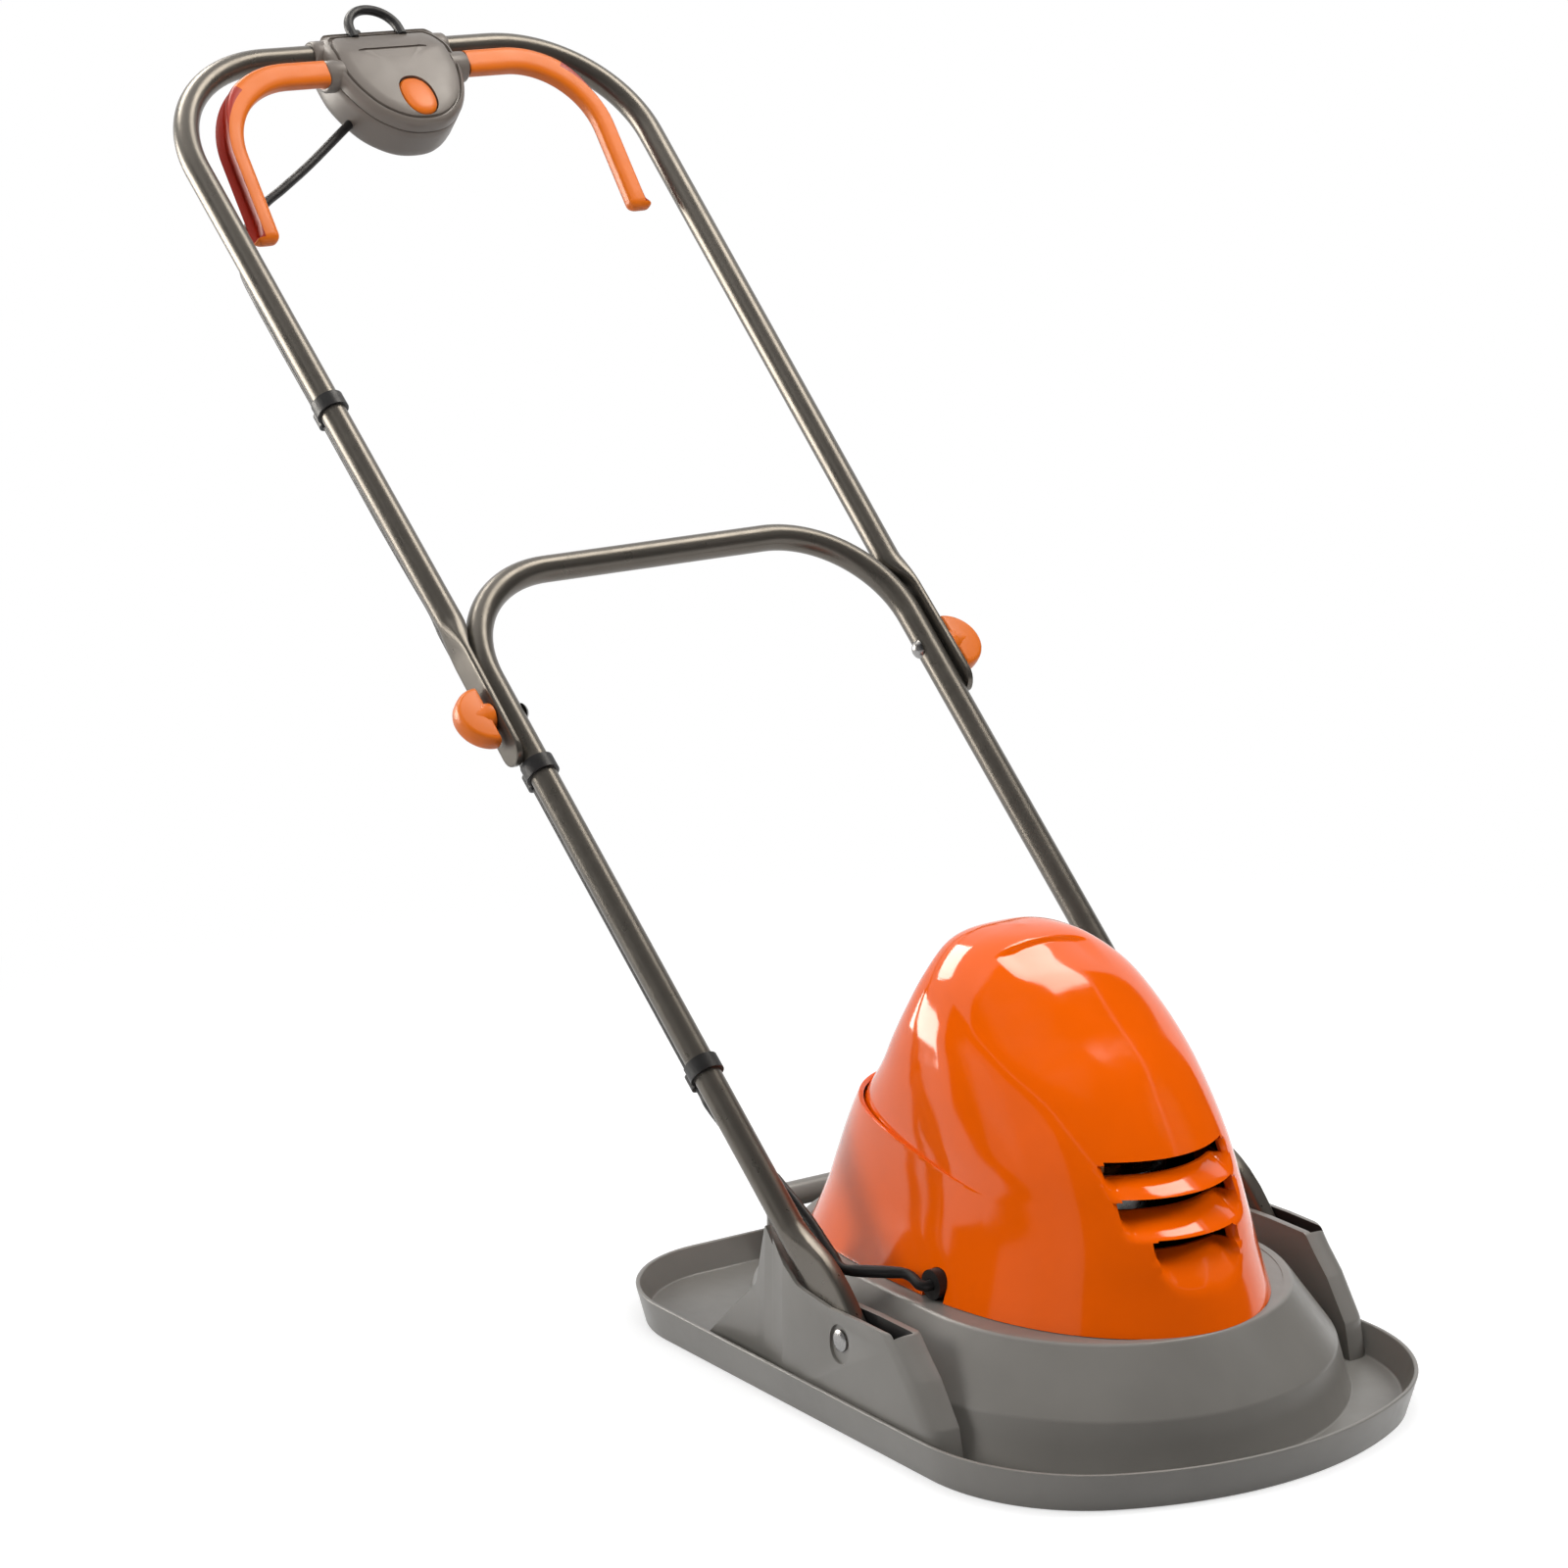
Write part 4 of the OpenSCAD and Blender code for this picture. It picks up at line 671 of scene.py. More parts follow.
def cover_mesh(sizes):
    """The dome as an outer and an inner skin, with its slots and the lead's arch cut through. The inner skin is
    black, as painted shade seen through the slots.
    """
    depth, slot = sizes.louvre_depth / MM, sizes.slot_height / MM
    wall, top_wall = 2.5, 6.5
    fine = fine_rows()
    outer = [notch_top(sink_ledges(cover_ring(r, 0, 0), depth, slot)) for r in fine]
    inner = [sink_ledges(cover_ring(r, wall, 0), depth, slot) for r in fine if r[1] > 12]
    for ring in inner:
        for p in ring:
            p[2] -= top_wall * smoothstep(200, 250, p[2])
    shell = Shell().loft(metres(outer), start=False)
    # The inner skin and the band between the skins take the black finish, painted shade seen through the slots.
    shell.loft(metres(reversed(inner)), end=False, mark=1)
    shell.loft(metres((inner[0], outer[0])), start=False, end=False, mark=1)
    cutter = Shell()
    front, back, corner = -COVER["front"], -22, 6
    for height, half, *_ in VENTS:
        outline = [(-half, front), (half, front), (half, back), (-half, back), (-half, front)]
        outline = rounded(outline, [0, corner, corner, corner, 0])[:-1]
        cutter.loft([level(outline, height + s * slot / 2) for s in (-1, 1)])
    cutter.loft(lead_arch(9.9))
    return cut_away(shell.mesh("motor_cover_skin"), cutter.mesh("cover_cutter"), "motor_cover")


def skirt_mesh(sizes):
    """The lower rear part of the cover, which stands off the dome above it."""
    proud, hidden = sizes.skirt_proud / MM, 0.2
    rows = [r for r in cover_rows() if r[0] < 215]
    shell = Shell().loft(metres(cover_ring(r, hidden, proud + hidden) for r in rows), False, False)
    mesh = shell.mesh("cover_skirt")
    bm = bmesh.new()
    bm.from_mesh(mesh)
    slope = math.radians(9.4)
    for place, facing in (((0, 0, 153), (0, -math.sin(slope), math.cos(slope))), ((0, -40, 0), (0, -1, 0))):
        bmesh.ops.bisect_plane(
            bm, geom=bm.verts[:] + bm.edges[:] + bm.faces[:], plane_co=Vector(place) * MM,
            plane_no=Vector(facing), clear_outer=True)
    bm.normal_update()
    bm.to_mesh(mesh)
    bm.free()
    body = loose("cover_skirt_raw", mesh)
    thick = body.modifiers.new("wall", "SOLIDIFY")
    thick.thickness = 3.2 * MM
    thick.offset = -1
    add_bevel(body, 0.7, 3, 50)
    cutter = Shell().loft(lead_arch(10.2))
    return cut_away(settled(body), cutter.mesh("skirt_cutter"), "cover_skirt")


class MOWER_OT_motor_cover(bpy.types.Operator):
    """Dome with its vents, and the skirt behind it"""
    bl_idname = "mower.motor_cover"
    bl_label = "Motor cover"

    def execute(self, context):
        sizes = context.scene.mower_sizes
        # The black second finish of the dome is painted shade on its inner skin.
        finish = [FINISH["cover_plastic"], FINISH["black_plastic"]]
        add_piece("motor_cover_skin", cover_mesh(sizes), "deck", finish, ["motor_cover"])
        add_piece("cover_skirt", skirt_mesh(sizes), "deck", finish[:1])
        return {"FINISHED"}


# Handle tubes
def handle_path(part, start):
    """Places along one leg, round the bend and to the middle of the crossbar."""
    splay = math.radians(part["splay"])
    arc_t = part["length"] - part["bend"]
    arc_x = part["base"] + (arc_t * math.sin(splay) - part["bend"]) / math.cos(splay)
    leg = (arc_x - part["base"]) * math.sin(splay) + arc_t * math.cos(splay)
    path = []
    for k in range(24):
        s = start + (leg - start) * k / 24
        path.append((-part["base"] - s * math.sin(splay), s * math.cos(splay)))
    for k in range(29):
        a = math.pi + splay - (math.pi / 2 + splay) * k / 28
        path.append((-arc_x + part["bend"] * math.cos(a), arc_t + part["bend"] * math.sin(a)))
    for k in range(1, 7):
        path.append((-arc_x * (1 - k / 6), part["length"]))
    return path


def tube_rings(stations):
    """Rings round a flat path. A station is (x, t, half across, half up, squareness, lift)."""
    rings = []
    for i, (x, t, across, up, power, lift) in enumerate(stations):
        along = heading(stations, i)
        rings.append([in_handle(x - along[1] * u, t + along[0] * u, lift + v)
                      for u, v in squircle(across, up, power, 36)])
    return rings


def mirrored(half):
    """The stations of one side, and those of the other in turn."""
    return half + [(-s[0], *s[1:]) for s in reversed(half[:-1])]


def lower_tube():
    """The lower handle. A foot station is (t, half thickness, half width, squareness, lift)."""
    thin, end_r = 6, 14
    ends = []
    for k in range(9):
        t = -end_r * math.cos(math.pi / 2 * k / 8)
        ends.append((t, thin, max(1.2, math.sqrt(end_r ** 2 - t * t)), 6.0, 3))
    ends += [
        (12, thin, 14.8, 6.0, 3.8), (26, thin, 15.6, 6.0, 4.4), (40, thin, 15.2, 6.0, 4.2),
        (50, 6.1, 14.2, 5.6, 3.6), (58, 6.6, 12.8, 4.8, 2.6), (66, 7.4, 11.4, 3.8, 1.5),
        (74, 8.4, 10.2, 2.8, 0.6), (81, 9.2, 9.6, 2.2, 0.1)]
    foot = [(-LOW["base"] - smoothstep(50, 82, t) * 1.1, t, *rest) for t, *rest in ends]
    legs = [(x, t, TUBE_R, TUBE_R, 2.0, 0) for x, t in handle_path(LOW, 84)]
    return Shell().loft(tube_rings(mirrored(foot + legs))).mesh("lower_tube", 50.0)


def upper_tube():
    """The upper handle, flattened where it lies outside the lower legs."""
    x, end_t, thin, wide, flat_t, turn = -188.2, 477.5, 2.5, 11.5, 556, 32
    ends = []
    for k in range(7):
        t = end_t - wide * math.cos(math.pi / 2 * k / 6)
        ends.append((x, t, thin, max(1.0, math.sqrt(max(0, wide ** 2 - (t - end_t) ** 2))), 7.0, 0))
    ends += [(x, t, thin, wide, 7.0, 0) for t in (500, 530, flat_t)]
    for k in range(1, 11):
        u = smoothstep(0, 1, k / 11)
        ends.append((x + u * 4.5, flat_t + turn * k / 11, thin + 7 * u, wide - 2 * u, 7 - 5 * u ** 0.5, 0))
    legs = [(px, pt, TUBE_R, TUBE_R, 2.0, 0) for px, pt in handle_path(UP, 589)]
    return Shell().loft(tube_rings(mirrored(ends + legs))).mesh("upper_tube", 50.0)


class MOWER_OT_handles(bpy.types.Operator):
    """Lower and upper handle tubes"""
    bl_idname = "mower.handles"
    bl_label = "Handle tubes"

    def execute(self, context):
        finish = [FINISH["handle_paint"]]
        add_piece("lower_tube", lower_tube(), "handle_low", finish, ["lower_handle"])
        add_piece("upper_tube", upper_tube(), "handle_top", finish, ["upper_handle"])
        return {"FINISHED"}


# Switch box
# One half of its outline: shares of the half width and of the length
BOX_SHARES = [
    (0, 0), (0.28, 0.02), (0.52, 0.09), (0.73, 0.2), (0.89, 0.36), (0.98, 0.52), (1, 0.66),
    (0.99, 0.8), (0.94, 0.92), (0.85, 0.985), (0.74, 1), (0.3, 1.0)]


def box_rings(levels):
    """Rings of the box. A level is (height, share of the outline); the rear of the top falls away."""
    half = [(x * BOX_HALF, BOX_LOW + t * BOX_LEN) for x, t in BOX_SHARES]
    outline = catmull(half + [(-x, t) for x, t in reversed(half[1:])], 5, closed=True)
    rings = []
    for h, share in levels:
        ring = []
        for x, t in outline:
            place = BOX_MID + (t - BOX_MID) * share
            fall = 0.3 * max(0.0, place - 1097) * smoothstep(9, 17, h)
            ring.append(in_handle(x * share, place, h - fall))
        rings.append(ring)
    return rings


def handle_plug(t, a, b, power, heights):
    """An upright plug on the handle's middle line, to cut with."""
    return Shell().loft([[in_handle(x, t + y, h) for x, y in squircle(a, b, power, 48)] for h in heights])


def box_top_mesh():
    """The upper half with its panel joint, the button's pocket and the groove behind it."""
    levels = [
        (7.3, 0.97), (7.3, 0.99), (7.8, 1.0), (11, 1.0), (14, 0.99), (16.2, 0.968), (17.6, 0.94), (18.1, 0.915),
        (16.0, 0.903), (16.1, 0.88), (18.4, 0.866), (19.4, 0.82), (20.3, 0.7), (20.9, 0.5), (21.2, 0.25),
        (21.3, 0.03)]
    mesh = Shell().loft(box_rings(levels)).mesh("box_top", 60.0)
    above = 26
    pocket = handle_plug(BUTTON_T, 14.1, 18.6, 2.3, (8.6, above))
    mesh = cut_away(mesh, pocket.mesh("box_pocket"), "box_top")
    groove = handle_plug(1096, 29, 1.3, 6.0, (19.2, above))
    return cut_away(mesh, groove.mesh("box_line"), "box_top")


def box_base_mesh():
    """The lower half with the sockets of the lever's shaft and of the crossbar."""
    levels = [(-21, 0.9), (-20.6, 0.94), (-19.4, 0.965), (-17, 0.985), (-12, 0.997), (0, 1.0), (6.2, 1.0),
              (6.8, 0.99), (6.8, 0.97)]
    shell = Shell().loft(box_rings(levels))
    for s in (-1, 1):
        shell.loft(discs(
            lambda x, y, z: in_handle(s * x, LEVER_AXIS[0] + y, LEVER_AXIS[1] + z),
            ((46, 12), (58.5, 12), (59.6, 11.4), (60, 10.4), (60, 9.2)), 36))
        shell.loft(discs(
            lambda x, y, z: in_handle(s * x, UP["length"] + y, z),
            ((40, 12.4), (52, 12.4), (56, 12.2), (57.2, 11.4), (57.5, 9.8)), 36))
    return shell.mesh("box_base", 50.0)


def hook_mesh():
    """The arch above the box, from one foot over to the other."""
    bow, thick, lift, centre_t, feet_t = 20.5, 3.6, 12, 1123, (1116, 1120)
    path = [(bow, t) for t in feet_t]
    path += [(bow * math.cos(math.pi * k / 24), centre_t + bow * math.sin(math.pi * k / 24)) for k in range(25)]
    path += [(-bow, t) for t in reversed(feet_t)]
    rings = []
    for i, (x, t) in enumerate(path):
        along = heading(path, i)
        rings.append([in_handle(x - along[1] * u, t + along[0] * u, lift + v)
                      for u, v in squircle(thick, thick, 2.2, 24)])
    return Shell().loft(rings).mesh("cord_arch", 50.0)


class MOWER_OT_switch_box(bpy.types.Operator):
    """Switch box halves and the arch above them"""
    bl_idname = "mower.switch_box"
    bl_label = "Switch box"

    def execute(self, context):
        finish = [FINISH["box_plastic"]]
        add_piece("box_top", box_top_mesh(), "handle_top", finish, ["switch_box_top"])
        add_piece("box_base", box_base_mesh(), "handle_top", finish, ["switch_box_base"])
        dark = [FINISH["black_plastic"]]
        add_piece("cord_arch", hook_mesh(), "handle_top", dark, ["cord_hook"])
        return {"FINISHED"}


# Lever, button and knobs
def lever_path():
    """One wing, out from the box, round its bend and down to its rounded end: (x, along, size)."""
    bend, side, leg, tip = 66.0, 160.0, 66.0, 6.5
    path = [(x, 0, 1.0) for x in (60.3, 64, 78)]
    for k in range(27):
        a = math.pi / 2 * k / 26
        path.append((side - bend + bend * math.sin(a), -bend + bend * math.cos(a), 1.0))
    path += [(side, -bend - leg * k / 8, 1.0) for k in range(1, 9)]
    for k in range(1, 9):
        a = math.pi / 2 * k / 8
        path.append((side, -bend - leg - tip * math.sin(a), math.cos(a * 8 / 8.3)))
    return path


def lever_mesh():
    """Both wings, each with a channel along its outer side whose faces get a dark red painted shade, and the
    shaft between them.
    """
    lift, half_wide, half_tall, sides = 4.0, 10, 6.5, 56
    path = lever_path()
    last = len(path) - 1
    shell = Shell()
    for s in (-1, 1):
        rings, channel = [], set()
        for i, (x, y, size) in enumerate(path):
            along = heading(path, i)
            across, up = half_wide - 6.5 * (1 - size), half_tall * size
            open_up = smoothstep(13, 24, i) * (1 - smoothstep(last - 9, last - 5, i))
            ring = []
            for j, (u, v) in enumerate(squircle(across, up, 3.4, sides)):
                if u > 0.3 * across and v > -0.55 * up:
                    u -= (u - 0.3 * across) * open_up
                    if 14 <= i <= last - 7:
                        channel.add((i, j))
                ring.append(in_lever(s * (x - along[1] * u), y + along[0] * u, lift + v))
            rings.append(ring)
        # The channel's faces take the second finish, the dark red painted shade.
        shell.loft(rings, mark=lambda i, j: int((i, j) in channel or (i, (j + 1) % sides) in channel))
        shell.loft(discs(
            lambda x, y, z: in_lever(s * x, y, z), ((0, 6), (46, 6), (46, 8.6), (62, 8.6)), 32), start=False)
    return shell.mesh("bail_wings", 50.0)


def button_mesh():
    """The oval button. A level is (height, share of the outline)."""
    levels = [
        (13.5, 1.0), (17.6, 1.0), (19.0, 0.985), (20.2, 0.94), (21.0, 0.86), (21.7, 0.7), (22.1, 0.45),
        (22.25, 0.1)]
    return Shell().loft([
        [in_handle(x * share, BUTTON_T + y * share, h) for x, y in squircle(13.4, 17.9, 2.3, 48)]
        for h, share in levels]).mesh("oval_button", 50.0)


def knob_mesh(side):
    """A half-moon wing on a round hub."""
    base_x, wing_r, root, middle, corner = 191.3, 23.0, 3.0, 12, 4
    moon = [(root, -wing_r)]
    for k in range(1, 28):
        a = math.pi * k / 28
        moon.append((root + wing_r * math.sin(a), -wing_r * math.cos(a)))
    moon.append((root, wing_r))
    moon = rounded(moon + [moon[0]], [0] + [corner] * 29 + [0], 2)[:-1]
    half = [(-7, 0.8), (-6.7, 0.88), (-5.8, 0.94), (-4, 0.985)]
    levels = half + [(0, 1.0)] + [(-h, share) for h, share in reversed(half)]
    shell = Shell().loft([
        [in_handle(side * (base_x + middle + (x - middle) * share), BOLT_T + t * share, h) for x, t in moon]
        for h, share in levels])
    shell.loft(discs(
        lambda x, y, z: in_handle(side * (base_x + x), BOLT_T + y, z),
        ((0, 9.2), (0.6, 10), (4, 10), (6, 9.2), (9, 7.6), (14, 7.0)), 36))
    return shell.mesh("wing_knob", 50.0)


class MOWER_OT_orange_parts(bpy.types.Operator):
    """Bail lever, lock button and wing knobs"""
    bl_idname = "mower.orange_parts"
    bl_label = "Lever, button and knobs"

    def execute(self, context):
        finish = [FINISH["orange_plastic"]]
        # The wings' second finish is the painted shade in their channels.
        wings = finish + [FINISH["lever_inside"]]
        add_piece("bail_wings", lever_mesh(), "lever", wings, ["bail_lever"])
        add_piece("oval_button", button_mesh(), "lock", finish, ["lock_button"])
        add_piece("wing_knob_left", knob_mesh(-1), "knob_left", finish, ["left_knob"])
        add_piece("wing_knob_right", knob_mesh(1), "knob_right", finish, ["right_knob"])
        return {"FINISHED"}


# Lead, made by a node tree along each stretch of its route
CABLE_OFF = 13.3
# Where the lead hangs from the box to the leg: across, below the crossbar and under the handle's plane
LEAD_TOP = [
    (36, 50, 13), (46, 57, 13), (90, 87, 18), (120, 106, 20), (142, 119, 23), (166, 142, 26), (183, 175, 22)]
LEAD_GROUND = [(-123.4, 39.2, 94.2), (-120.6, 23.1, 90), (-108, 21, 90), (-94, 21, 90), (-71.6, 21, 90)]


def on_leg(part, t, lift=-1.0, inward=0.0, further=0.0):
    """A place of the lead on the near leg. The lift is in steps of the lead's distance from the leg."""
    x = part["base"] + t * math.tan(math.radians(part["splay"]))
    return in_handle(inward - x, t + further, lift * CABLE_OFF)


def lead_routes():
    """The lead's route by stretch: upper handle, fold, lower handle, pivot and deck."""
    top = [in_handle(-x, UP["length"] - down, -under) for x, down, under in LEAD_TOP]
    top += [on_leg(UP, 895, -1.03)] + [on_leg(UP, t) for t in (795, 773, 691)]
    fold = [on_leg(UP, *place) for place in (
        (691, -1, 0), (650, -1.04, 1), (612, -1.1, 2.5), (598, -1.2, 2.5), (584, -1.3, 2.5),
        (BOLT_T, -1.36, 2.5, 7))]
    fold += [on_leg(LOW, t) for t in (481, 470, 448)]
    low = [on_leg(LOW, t) for t in (448, 334.5, 221, 199, 188)]
    low += [on_leg(LOW, 157.5, -1.05, 6.475, 2.1), on_leg(LOW, 126, -0.75, 15.7)]
    heel, foot = on_leg(LOW, 60, -0.35, 18.5, 30), on_leg(LOW, 60, 0, 18.5)
    elbow = foot + Vector((1.85, -14, -7)) * MM
    ground = [Vector(p) * MM for p in LEAD_GROUND]
    return {"top": top, "fold": fold, "low": low, "pivot": [low[-1], heel, foot, elbow, ground[0]],
            "deck": [elbow, *ground]}


def new_tree(name, inputs):
    """A geometry tree and the identifiers of its inputs, each given as (name, kind, default)."""
    tree = bpy.data.node_groups.new(name, "GeometryNodeTree")
    tree.interface.new_socket("Geometry", in_out="INPUT", socket_type="NodeSocketGeometry")
    keys = []
    for label, kind, default in inputs:
        socket = tree.interface.new_socket(label, in_out="INPUT", socket_type="NodeSocket" + kind)
        socket.default_value = default
        keys.append(socket.identifier)
    tree.interface.new_socket("Geometry", in_out="OUTPUT", socket_type="NodeSocketGeometry")
    return tree, keys


def end_tree(tree, geometry, material):
    """Ends a tree in plain faces with their material."""
    real = tree.nodes.new("GeometryNodeRealizeInstances")
    paint = tree.nodes.new("GeometryNodeSetMaterial")
    paint.inputs["Material"].default_value = material
    end = tree.nodes.new("NodeGroupOutput")
    tree.links.new(geometry, real.inputs["Geometry"])
    tree.links.new(real.outputs["Geometry"], paint.inputs["Geometry"])
    tree.links.new(paint.outputs["Geometry"], end.inputs["Geometry"])


def tube_tree(material):
    """A node tree that skins a curve with a round section."""
    tree, keys = new_tree("round_lead", (("Radius", "Float", 3.5 * MM), ("Sides", "Int", 20)))
    start = tree.nodes.new("NodeGroupInput")
    circle = tree.nodes.new("GeometryNodeCurvePrimitiveCircle")
    skin = tree.nodes.new("GeometryNodeCurveToMesh")
    skin.inputs["Fill Caps"].default_value = True
    soft = tree.nodes.new("GeometryNodeSetShadeSmooth")
    link = tree.links.new
    link(start.outputs["Radius"], circle.inputs["Radius"])
    link(start.outputs["Sides"], circle.inputs["Resolution"])
    link(start.outputs["Geometry"], skin.inputs["Curve"])
    link(circle.outputs["Curve"], skin.inputs["Profile Curve"])
    link(skin.outputs["Mesh"], soft.inputs["Geometry"])
    end_tree(tree, soft.outputs["Geometry"], material)
    return tree, keys[0]


def grown(carrier, tree, values, name):
    """The plain mesh that a node tree makes of its carrier."""
    modifier = carrier.modifiers.new("nodes", "NODES")
    modifier.node_group = tree
    for key, value in values.items():
        modifier[key] = value
    bpy.context.view_layer.update()
    graph = bpy.context.evaluated_depsgraph_get()
    mesh = bpy.data.meshes.new_from_object(carrier.evaluated_get(graph))
    mesh.name = name
    bpy.data.objects.remove(carrier)
    return mesh


def outward(mesh):
    """Turns a closed mesh's faces outward."""
    bm = bmesh.new()
    bm.from_mesh(mesh)
    bmesh.ops.recalc_face_normals(bm, faces=bm.faces)
    bm.to_mesh(mesh)
    bm.free()
    return mesh


class MOWER_OT_lead(bpy.types.Operator):
    """Motor lead from the switch box to the cover"""
    bl_idname = "mower.lead"
    bl_label = "Motor lead"

    def execute(self, context):
        finish = FINISH["lead_rubber"]
        tree, radius_key = tube_tree(finish)
        radius = context.scene.mower_sizes.lead_radius
        bodies = {"top": "handle_top", "low": "handle_low", "deck": "deck"}
        stands_for = {"top": ["motor_lead_upper"], "low": ["motor_lead_lower"], "deck": ["motor_lead_deck"]}
        for part, points in lead_routes().items():
            curve = bpy.data.curves.new("lead_route", "CURVE")
            curve.dimensions = "3D"
            spline = curve.splines.new("POLY")
            path = catmull([tuple(p) for p in points], 10)
            spline.points.add(len(path) - 1)
            for point, place in zip(spline.points, path):
                point.co = (*place, 1.0)
            carrier = loose("lead_carrier", curve)
            name, body = "lead_" + part, bodies.get(part)
            mesh = outward(grown(carrier, tree, {radius_key: radius}, name))
            obj = add_piece(name, mesh, body, [finish], stands_for.get(part, ()))
            if part == "fold":
                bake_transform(obj)
            if part == "pivot":
                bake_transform(obj)
        return {"FINISHED"}


# Pivot screws, set out by a node tree
SCREW_X, SCREW_SCALE = 176.4, 0.92


def screw_head():
    """A domed head with a cross recess, facing along +Z."""
    profile = ((-6, 4), (-1, 4), (-1, 7.6), (0, 8), (1.0, 7.7), (1.8, 6.4), (2.3, 4.4), (2.5, 0.4))
    head = Shell().loft([level(squircle(r, r, 2.0, 40), z) for z, r in profile])
    cross = Shell()
    for a, b in ((5.0, 0.9), (0.9, 5.0)):
        cross.loft([level(((-a, -b), (a, -b), (a, b), (-a, b)), z) for z in (0.9, 4)])
    return cut_away(head.mesh("screw_head", 40.0), cross.mesh("screw_cross"), "screw_head")


def scatter_tree(material, item):
    """A node tree that puts an item on every point, turned to the point's own direction."""
    tree, keys = new_tree("set_out_screws", (("Scale", "Float", 1.0),))
    start = tree.nodes.new("NodeGroupInput")
    facing = tree.nodes.new("GeometryNodeInputNamedAttribute")
    facing.data_type = "FLOAT_VECTOR"
    facing.inputs["Name"].default_value = "facing"
    turn = tree.nodes.new("FunctionNodeAlignRotationToVector")
    turn.axis = "Z"
    source = tree.nodes.new("GeometryNodeObjectInfo")
    source.inputs["Object"].default_value = item
    place = tree.nodes.new("GeometryNodeInstanceOnPoints")
    link = tree.links.new
    link(start.outputs["Geometry"], place.inputs["Points"])
    link(source.outputs["Geometry"], place.inputs["Instance"])
    link(facing.outputs["Attribute"], turn.inputs["Vector"])
    link(turn.outputs["Rotation"], place.inputs["Rotation"])
    link(start.outputs["Scale"], place.inputs["Scale"])
    end_tree(tree, place.outputs["Instances"], material)
    return tree, keys[0]


class MOWER_OT_screws(bpy.types.Operator):
    """Heads of the pivot screws"""
    bl_idname = "mower.screws"
    bl_label = "Pivot screws"

    def execute(self, context):
        item = loose("screw_item", screw_head())
        tree, scale_key = scatter_tree(FINISH["steel"], item)
        spots = bpy.data.meshes.new("screw_spots")
        spots.from_pydata([Vector((s * SCREW_X, *PIVOT)) * MM for s in (-1, 1)], [], [])
        facing = spots.attributes.new("facing", "FLOAT_VECTOR", "POINT")
        for k, s in enumerate((-1, 1)):
            facing.data[k].vector = (s, 0, 0)
        mesh = grown(loose("screw_carrier", spots), tree, {scale_key: SCREW_SCALE}, "pivot_screw_heads")
        bpy.data.objects.remove(item)
        smoothed(mesh, 40.0)
        add_piece("pivot_screw_heads", mesh, "deck", [FINISH["steel"]], ["pivot_screws"])
        return {"FINISHED"}


class MOWER_OT_solid_finishes(bpy.types.Operator):
    """Finishes of the solids that show as they are"""
    bl_idname = "mower.solid_finishes"
    bl_label = "Finishes of the solids"

    def execute(self, context):
        for part in frame["record"]["subparts"]:
            obj = NODES[part["node"]]
            obj.data.materials.clear()
            obj.data.materials.append(FINISH[part["material_slot"]])
        return {"FINISHED"}


# Stage
CAMERA_PLACE = (-1.8964, -2.366, 1.1864)
CAMERA_TURN = (75.51, 0, -34.95)
CAMERA_LENS = 114.64
FLOOR_HALF, FLOOR_Z = 20, -0.0005
FLOOR_GREY, FLOOR_GLOW = (0.49, 0.51), 0.62
FADE_START, FADE_END = 0.55, 1.3
WORLD_FILL, WORLD_SEEN = 0.24, 1.0
DARK_CARD, GREY_CARD = 0.02, 0.34
# Cards that the gloss mirrors: whether dark, and the corners
CARDS = (
    ("right_card", True, ((2.6, -3.4, 0), (2.6, 0.8, 0), (2.6, 0.8, 3), (2.6, -3.4, 3))),
    ("front_card", True, ((-2.6, -3.4, 0.1), (2.6, -3.4, 0.1), (2.6, -3.4, 3), (-2.6, -3.4, 3))),
    ("left_card", True, ((-2.6, -3.4, 0), (-2.6, 1.9, 0), (-2.6, 1.9, 3), (-2.6, -3.4, 3))),
    ("roof_card", True, ((-2.6, -3.4, 3.1), (2.6, -3.4, 3.1), (2.6, 0.6, 3.1), (-2.6, 0.6, 3.1))),
    ("left_panel", False, ((-2.4, -1.15, 0.25), (-2.4, 0.75, 0.25), (-2.4, 0.75, 2.1), (-2.4, -1.15, 2.1))))
# Lamps: place, target, size, power, and whether it lights surfaces or is only mirrored by them
LAMPS = (
    ("back_window", (-1.35, 2.2, 0.6), (-0.09, 0.08, 0.22), (1.2, 0.9), 44, False),
    ("back_soft", (-0.2, 2.2, 2.0), (0, 0.1, 0.25), (1.2, 0.6), 28, False),
    ("top_gleam", (1.15, 0.5, 2.4), (0, -0.05, 0.2), (1.0, 0.9), 24, False),
    ("top_soft", (-0.3, -0.1, 3.0), (0, 0.2, 0.2), (1.8, 1.8), 44, True),
    ("left_fill", (-2.4, 0.5, 1.1), (0, 0.1, 0.2), (1.0, 1.0), 32, True),
    ("right_key", (2.2, -1.1, 2.2), (0, 0.1, 0.2), (1.2, 1.2), 58, True))
LAMP_WHITE, LAMP_WARM = (1.0, 1.0, 1.0), (1.0, 0.95, 0.87)


def seen_ray(tree):
    """A socket that is 1 for what the camera sees, also in metal and through glass."""
    path = tree.nodes.new("ShaderNodeLightPath")
    value = path.outputs["Is Camera Ray"]
    for name in ("Is Glossy Ray", "Is Transmission Ray"):
        either = tree.nodes.new("ShaderNodeMath")
        either.operation = "MAXIMUM"
        tree.links.new(value, either.inputs[0])
        tree.links.new(path.outputs[name], either.inputs[1])
        value = either.outputs["Value"]
    return value


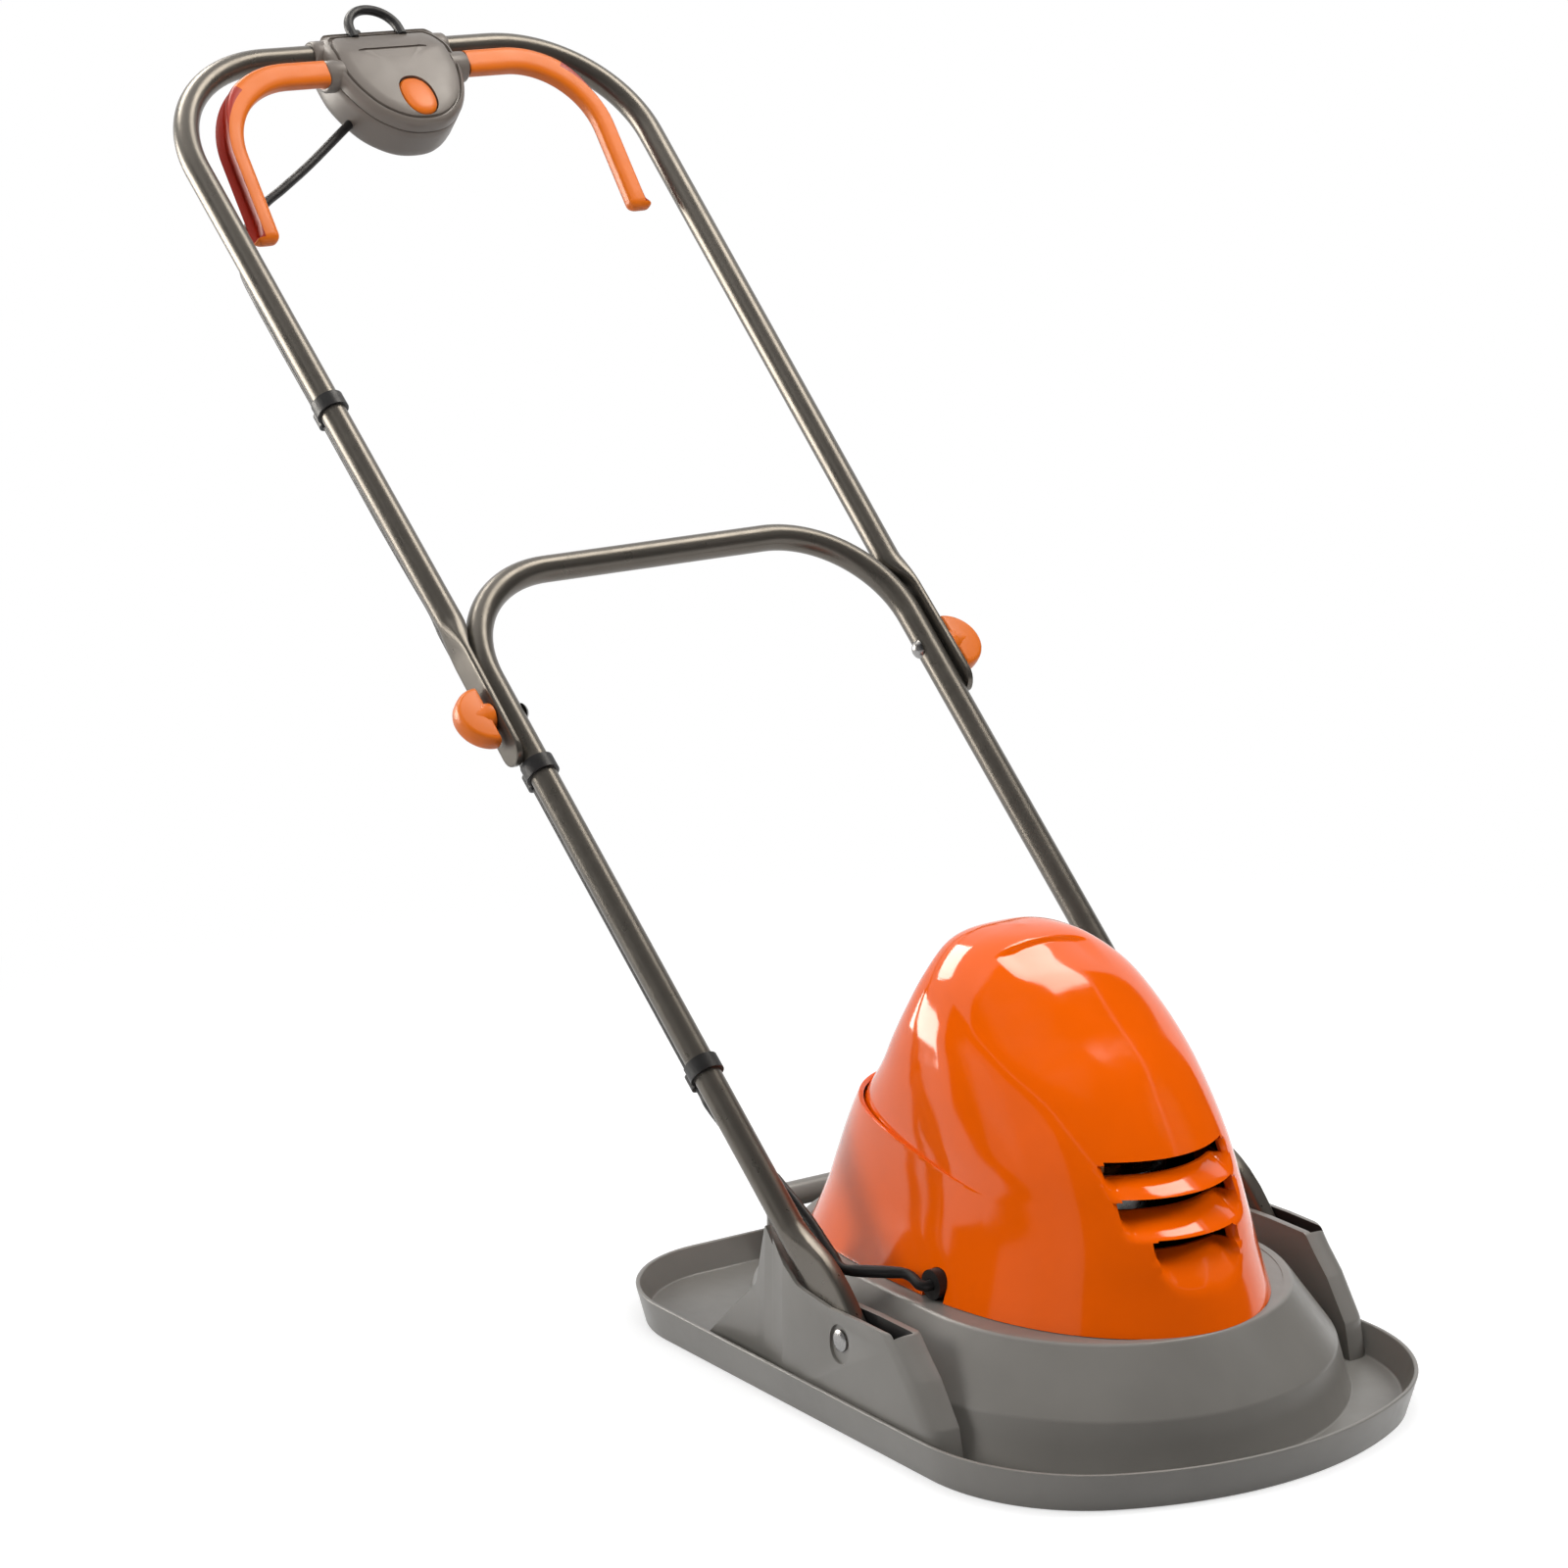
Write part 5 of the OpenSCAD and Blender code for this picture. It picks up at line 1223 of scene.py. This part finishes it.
class MOWER_OT_stage(bpy.types.Operator):
    """Floor, light and camera"""
    bl_idname = "mower.stage"
    bl_label = "Stage"

    def execute(self, context):
        scene = context.scene
        scene.view_settings.view_transform = "Standard"
        camera = bpy.data.cameras.new("photo_camera")
        camera.lens = CAMERA_LENS
        camera.sensor_width = 36.0
        camera.clip_end = 50.0
        view = loose("photo_camera", camera)
        view.location = CAMERA_PLACE
        view.rotation_euler = [math.radians(angle) for angle in CAMERA_TURN]
        scene.camera = view
        h = FLOOR_HALF
        floor = self.sheet("floor", [(x, y, FLOOR_Z) for x, y in ((-h, -h), (h, -h), (h, h), (-h, h))])
        floor.data.materials.append(self.floor_finish())
        self.world(scene)
        dark, grey = self.card_finish("dark_card", DARK_CARD), self.card_finish("grey_card", GREY_CARD)
        for name, is_dark, corners in CARDS:
            card = self.sheet(name, corners)
            card.data.materials.append(dark if is_dark else grey)
        for name, place, target, size, power, lights in LAMPS:
            lamp = bpy.data.lights.new(name, "AREA")
            lamp.shape = "RECTANGLE"
            lamp.size, lamp.size_y = size
            lamp.energy = power
            lamp.color = LAMP_WHITE if lights else LAMP_WARM
            obj = loose(name, lamp)
            obj.location = place
            obj.rotation_euler = (Vector(target) - Vector(place)).to_track_quat("-Z", "Y").to_euler()
            obj.visible_diffuse = lights
            obj.visible_glossy = not lights
        return {"FINISHED"}

    def sheet(self, name, corners):
        """One flat face of the stage."""
        mesh = bpy.data.meshes.new(name)
        mesh.from_pydata(corners, [], [(0, 1, 2, 3)])
        return loose(name, mesh)

    def floor_finish(self):
        """White paper that keeps the shadow near the mower and runs out to plain white."""
        f = Finish("floor_paper")
        f.colour(f.noise(3.0), *((grey, grey, grey) for grey in FLOOR_GREY))
        f.set(Roughness=0.9, Specular_IOR_Level=0.0)
        glow = f.node("ShaderNodeEmission", Color=(FLOOR_GLOW, FLOOR_GLOW, FLOOR_GLOW, 1))
        far = f.node("ShaderNodeEmission", Color=(1, 1, 1, 1))
        both, mix = f.node("ShaderNodeAddShader"), f.node("ShaderNodeMixShader")
        length, gate = f.node("ShaderNodeVectorMath"), f.node("ShaderNodeMath")
        fade = f.node("ShaderNodeMapRange", From_Min=FADE_START, From_Max=FADE_END)
        fade.interpolation_type = "SMOOTHSTEP"
        length.operation = "LENGTH"
        gate.operation = "MULTIPLY"
        seen = seen_ray(f.tree)
        f.link(seen, glow.inputs["Strength"])
        f.link(f.shader.outputs["BSDF"], both.inputs[0])
        f.link(glow.outputs["Emission"], both.inputs[1])
        f.link(f.coords.outputs["Object"], length.inputs[0])
        f.link(length.outputs["Value"], fade.inputs["Value"])
        f.link(fade.outputs["Result"], gate.inputs[0])
        f.link(seen, gate.inputs[1])
        f.link(gate.outputs["Value"], mix.inputs[0])
        f.link(both.outputs["Shader"], mix.inputs[1])
        f.link(far.outputs["Emission"], mix.inputs[2])
        f.link(mix.outputs["Shader"], f.out.inputs["Surface"])
        return f.material

    def card_finish(self, name, strength):
        """A card that only the gloss mirrors."""
        f = Finish(name)
        path, clear = f.node("ShaderNodeLightPath"), f.node("ShaderNodeBsdfTransparent")
        glow, mix = f.node("ShaderNodeEmission"), f.node("ShaderNodeMixShader")
        f.link(f.ramp(f.noise(0.8), 0.8 * strength, 1.2 * strength), glow.inputs["Strength"])
        f.link(path.outputs["Is Glossy Ray"], mix.inputs[0])
        f.link(clear.outputs["BSDF"], mix.inputs[1])
        f.link(glow.outputs["Emission"], mix.inputs[2])
        f.link(mix.outputs["Shader"], f.out.inputs["Surface"])
        return f.material

    def world(self, scene):
        """A soft fill, and plain white where the background is seen."""
        scene.world = bpy.data.worlds.new("studio")
        scene.world.use_nodes = True
        tree = scene.world.node_tree
        tree.nodes.clear()
        out, mix = tree.nodes.new("ShaderNodeOutputWorld"), tree.nodes.new("ShaderNodeMixShader")
        tree.links.new(seen_ray(tree), mix.inputs[0])
        for place, strength in ((1, WORLD_FILL), (2, WORLD_SEEN)):
            light = fill_in(
                tree.nodes.new("ShaderNodeBackground"), {"Color": (1, 1, 1, 1), "Strength": strength})
            tree.links.new(light.outputs["Background"], mix.inputs[place])
        tree.links.new(mix.outputs["Shader"], out.inputs["Surface"])


OPERATORS = (
    MOWER_OT_solid_finishes, MOWER_OT_deck, MOWER_OT_motor_cover, MOWER_OT_handles, MOWER_OT_switch_box,
    MOWER_OT_orange_parts, MOWER_OT_lead, MOWER_OT_screws, MOWER_OT_stage)


class MOWER_PT_panel(bpy.types.Panel):
    """Lists the mower's pieces"""
    bl_idname = "MOWER_PT_panel"
    bl_label = "Hover mower"
    bl_space_type = "VIEW_3D"
    bl_region_type = "UI"
    bl_category = "Mower"

    def draw(self, context):
        for operator in OPERATORS:
            self.layout.operator(operator.bl_idname)
        for group in (context.scene.mower_sizes, context.scene.mower_colours):
            for name in group.bl_rna.properties.keys():
                if name not in ("rna_type", "name"):
                    self.layout.prop(group, name)


CLASSES = (MowerColours, MowerSizes, *OPERATORS, MOWER_PT_panel)


def register():
    for cls in CLASSES:
        bpy.utils.register_class(cls)
    bpy.types.Scene.mower_colours = bpy.props.PointerProperty(type=MowerColours)
    bpy.types.Scene.mower_sizes = bpy.props.PointerProperty(type=MowerSizes)


def unregister():
    del bpy.types.Scene.mower_sizes
    del bpy.types.Scene.mower_colours
    for cls in reversed(CLASSES):
        bpy.utils.unregister_class(cls)


def main():
    register()
    FINISH.update(make_finishes(bpy.context.scene.mower_colours))
    for operator in OPERATORS:
        group, name = operator.bl_idname.split(".")
        getattr(getattr(bpy.ops, group), name)()


if __name__ == "__main__":
    main()
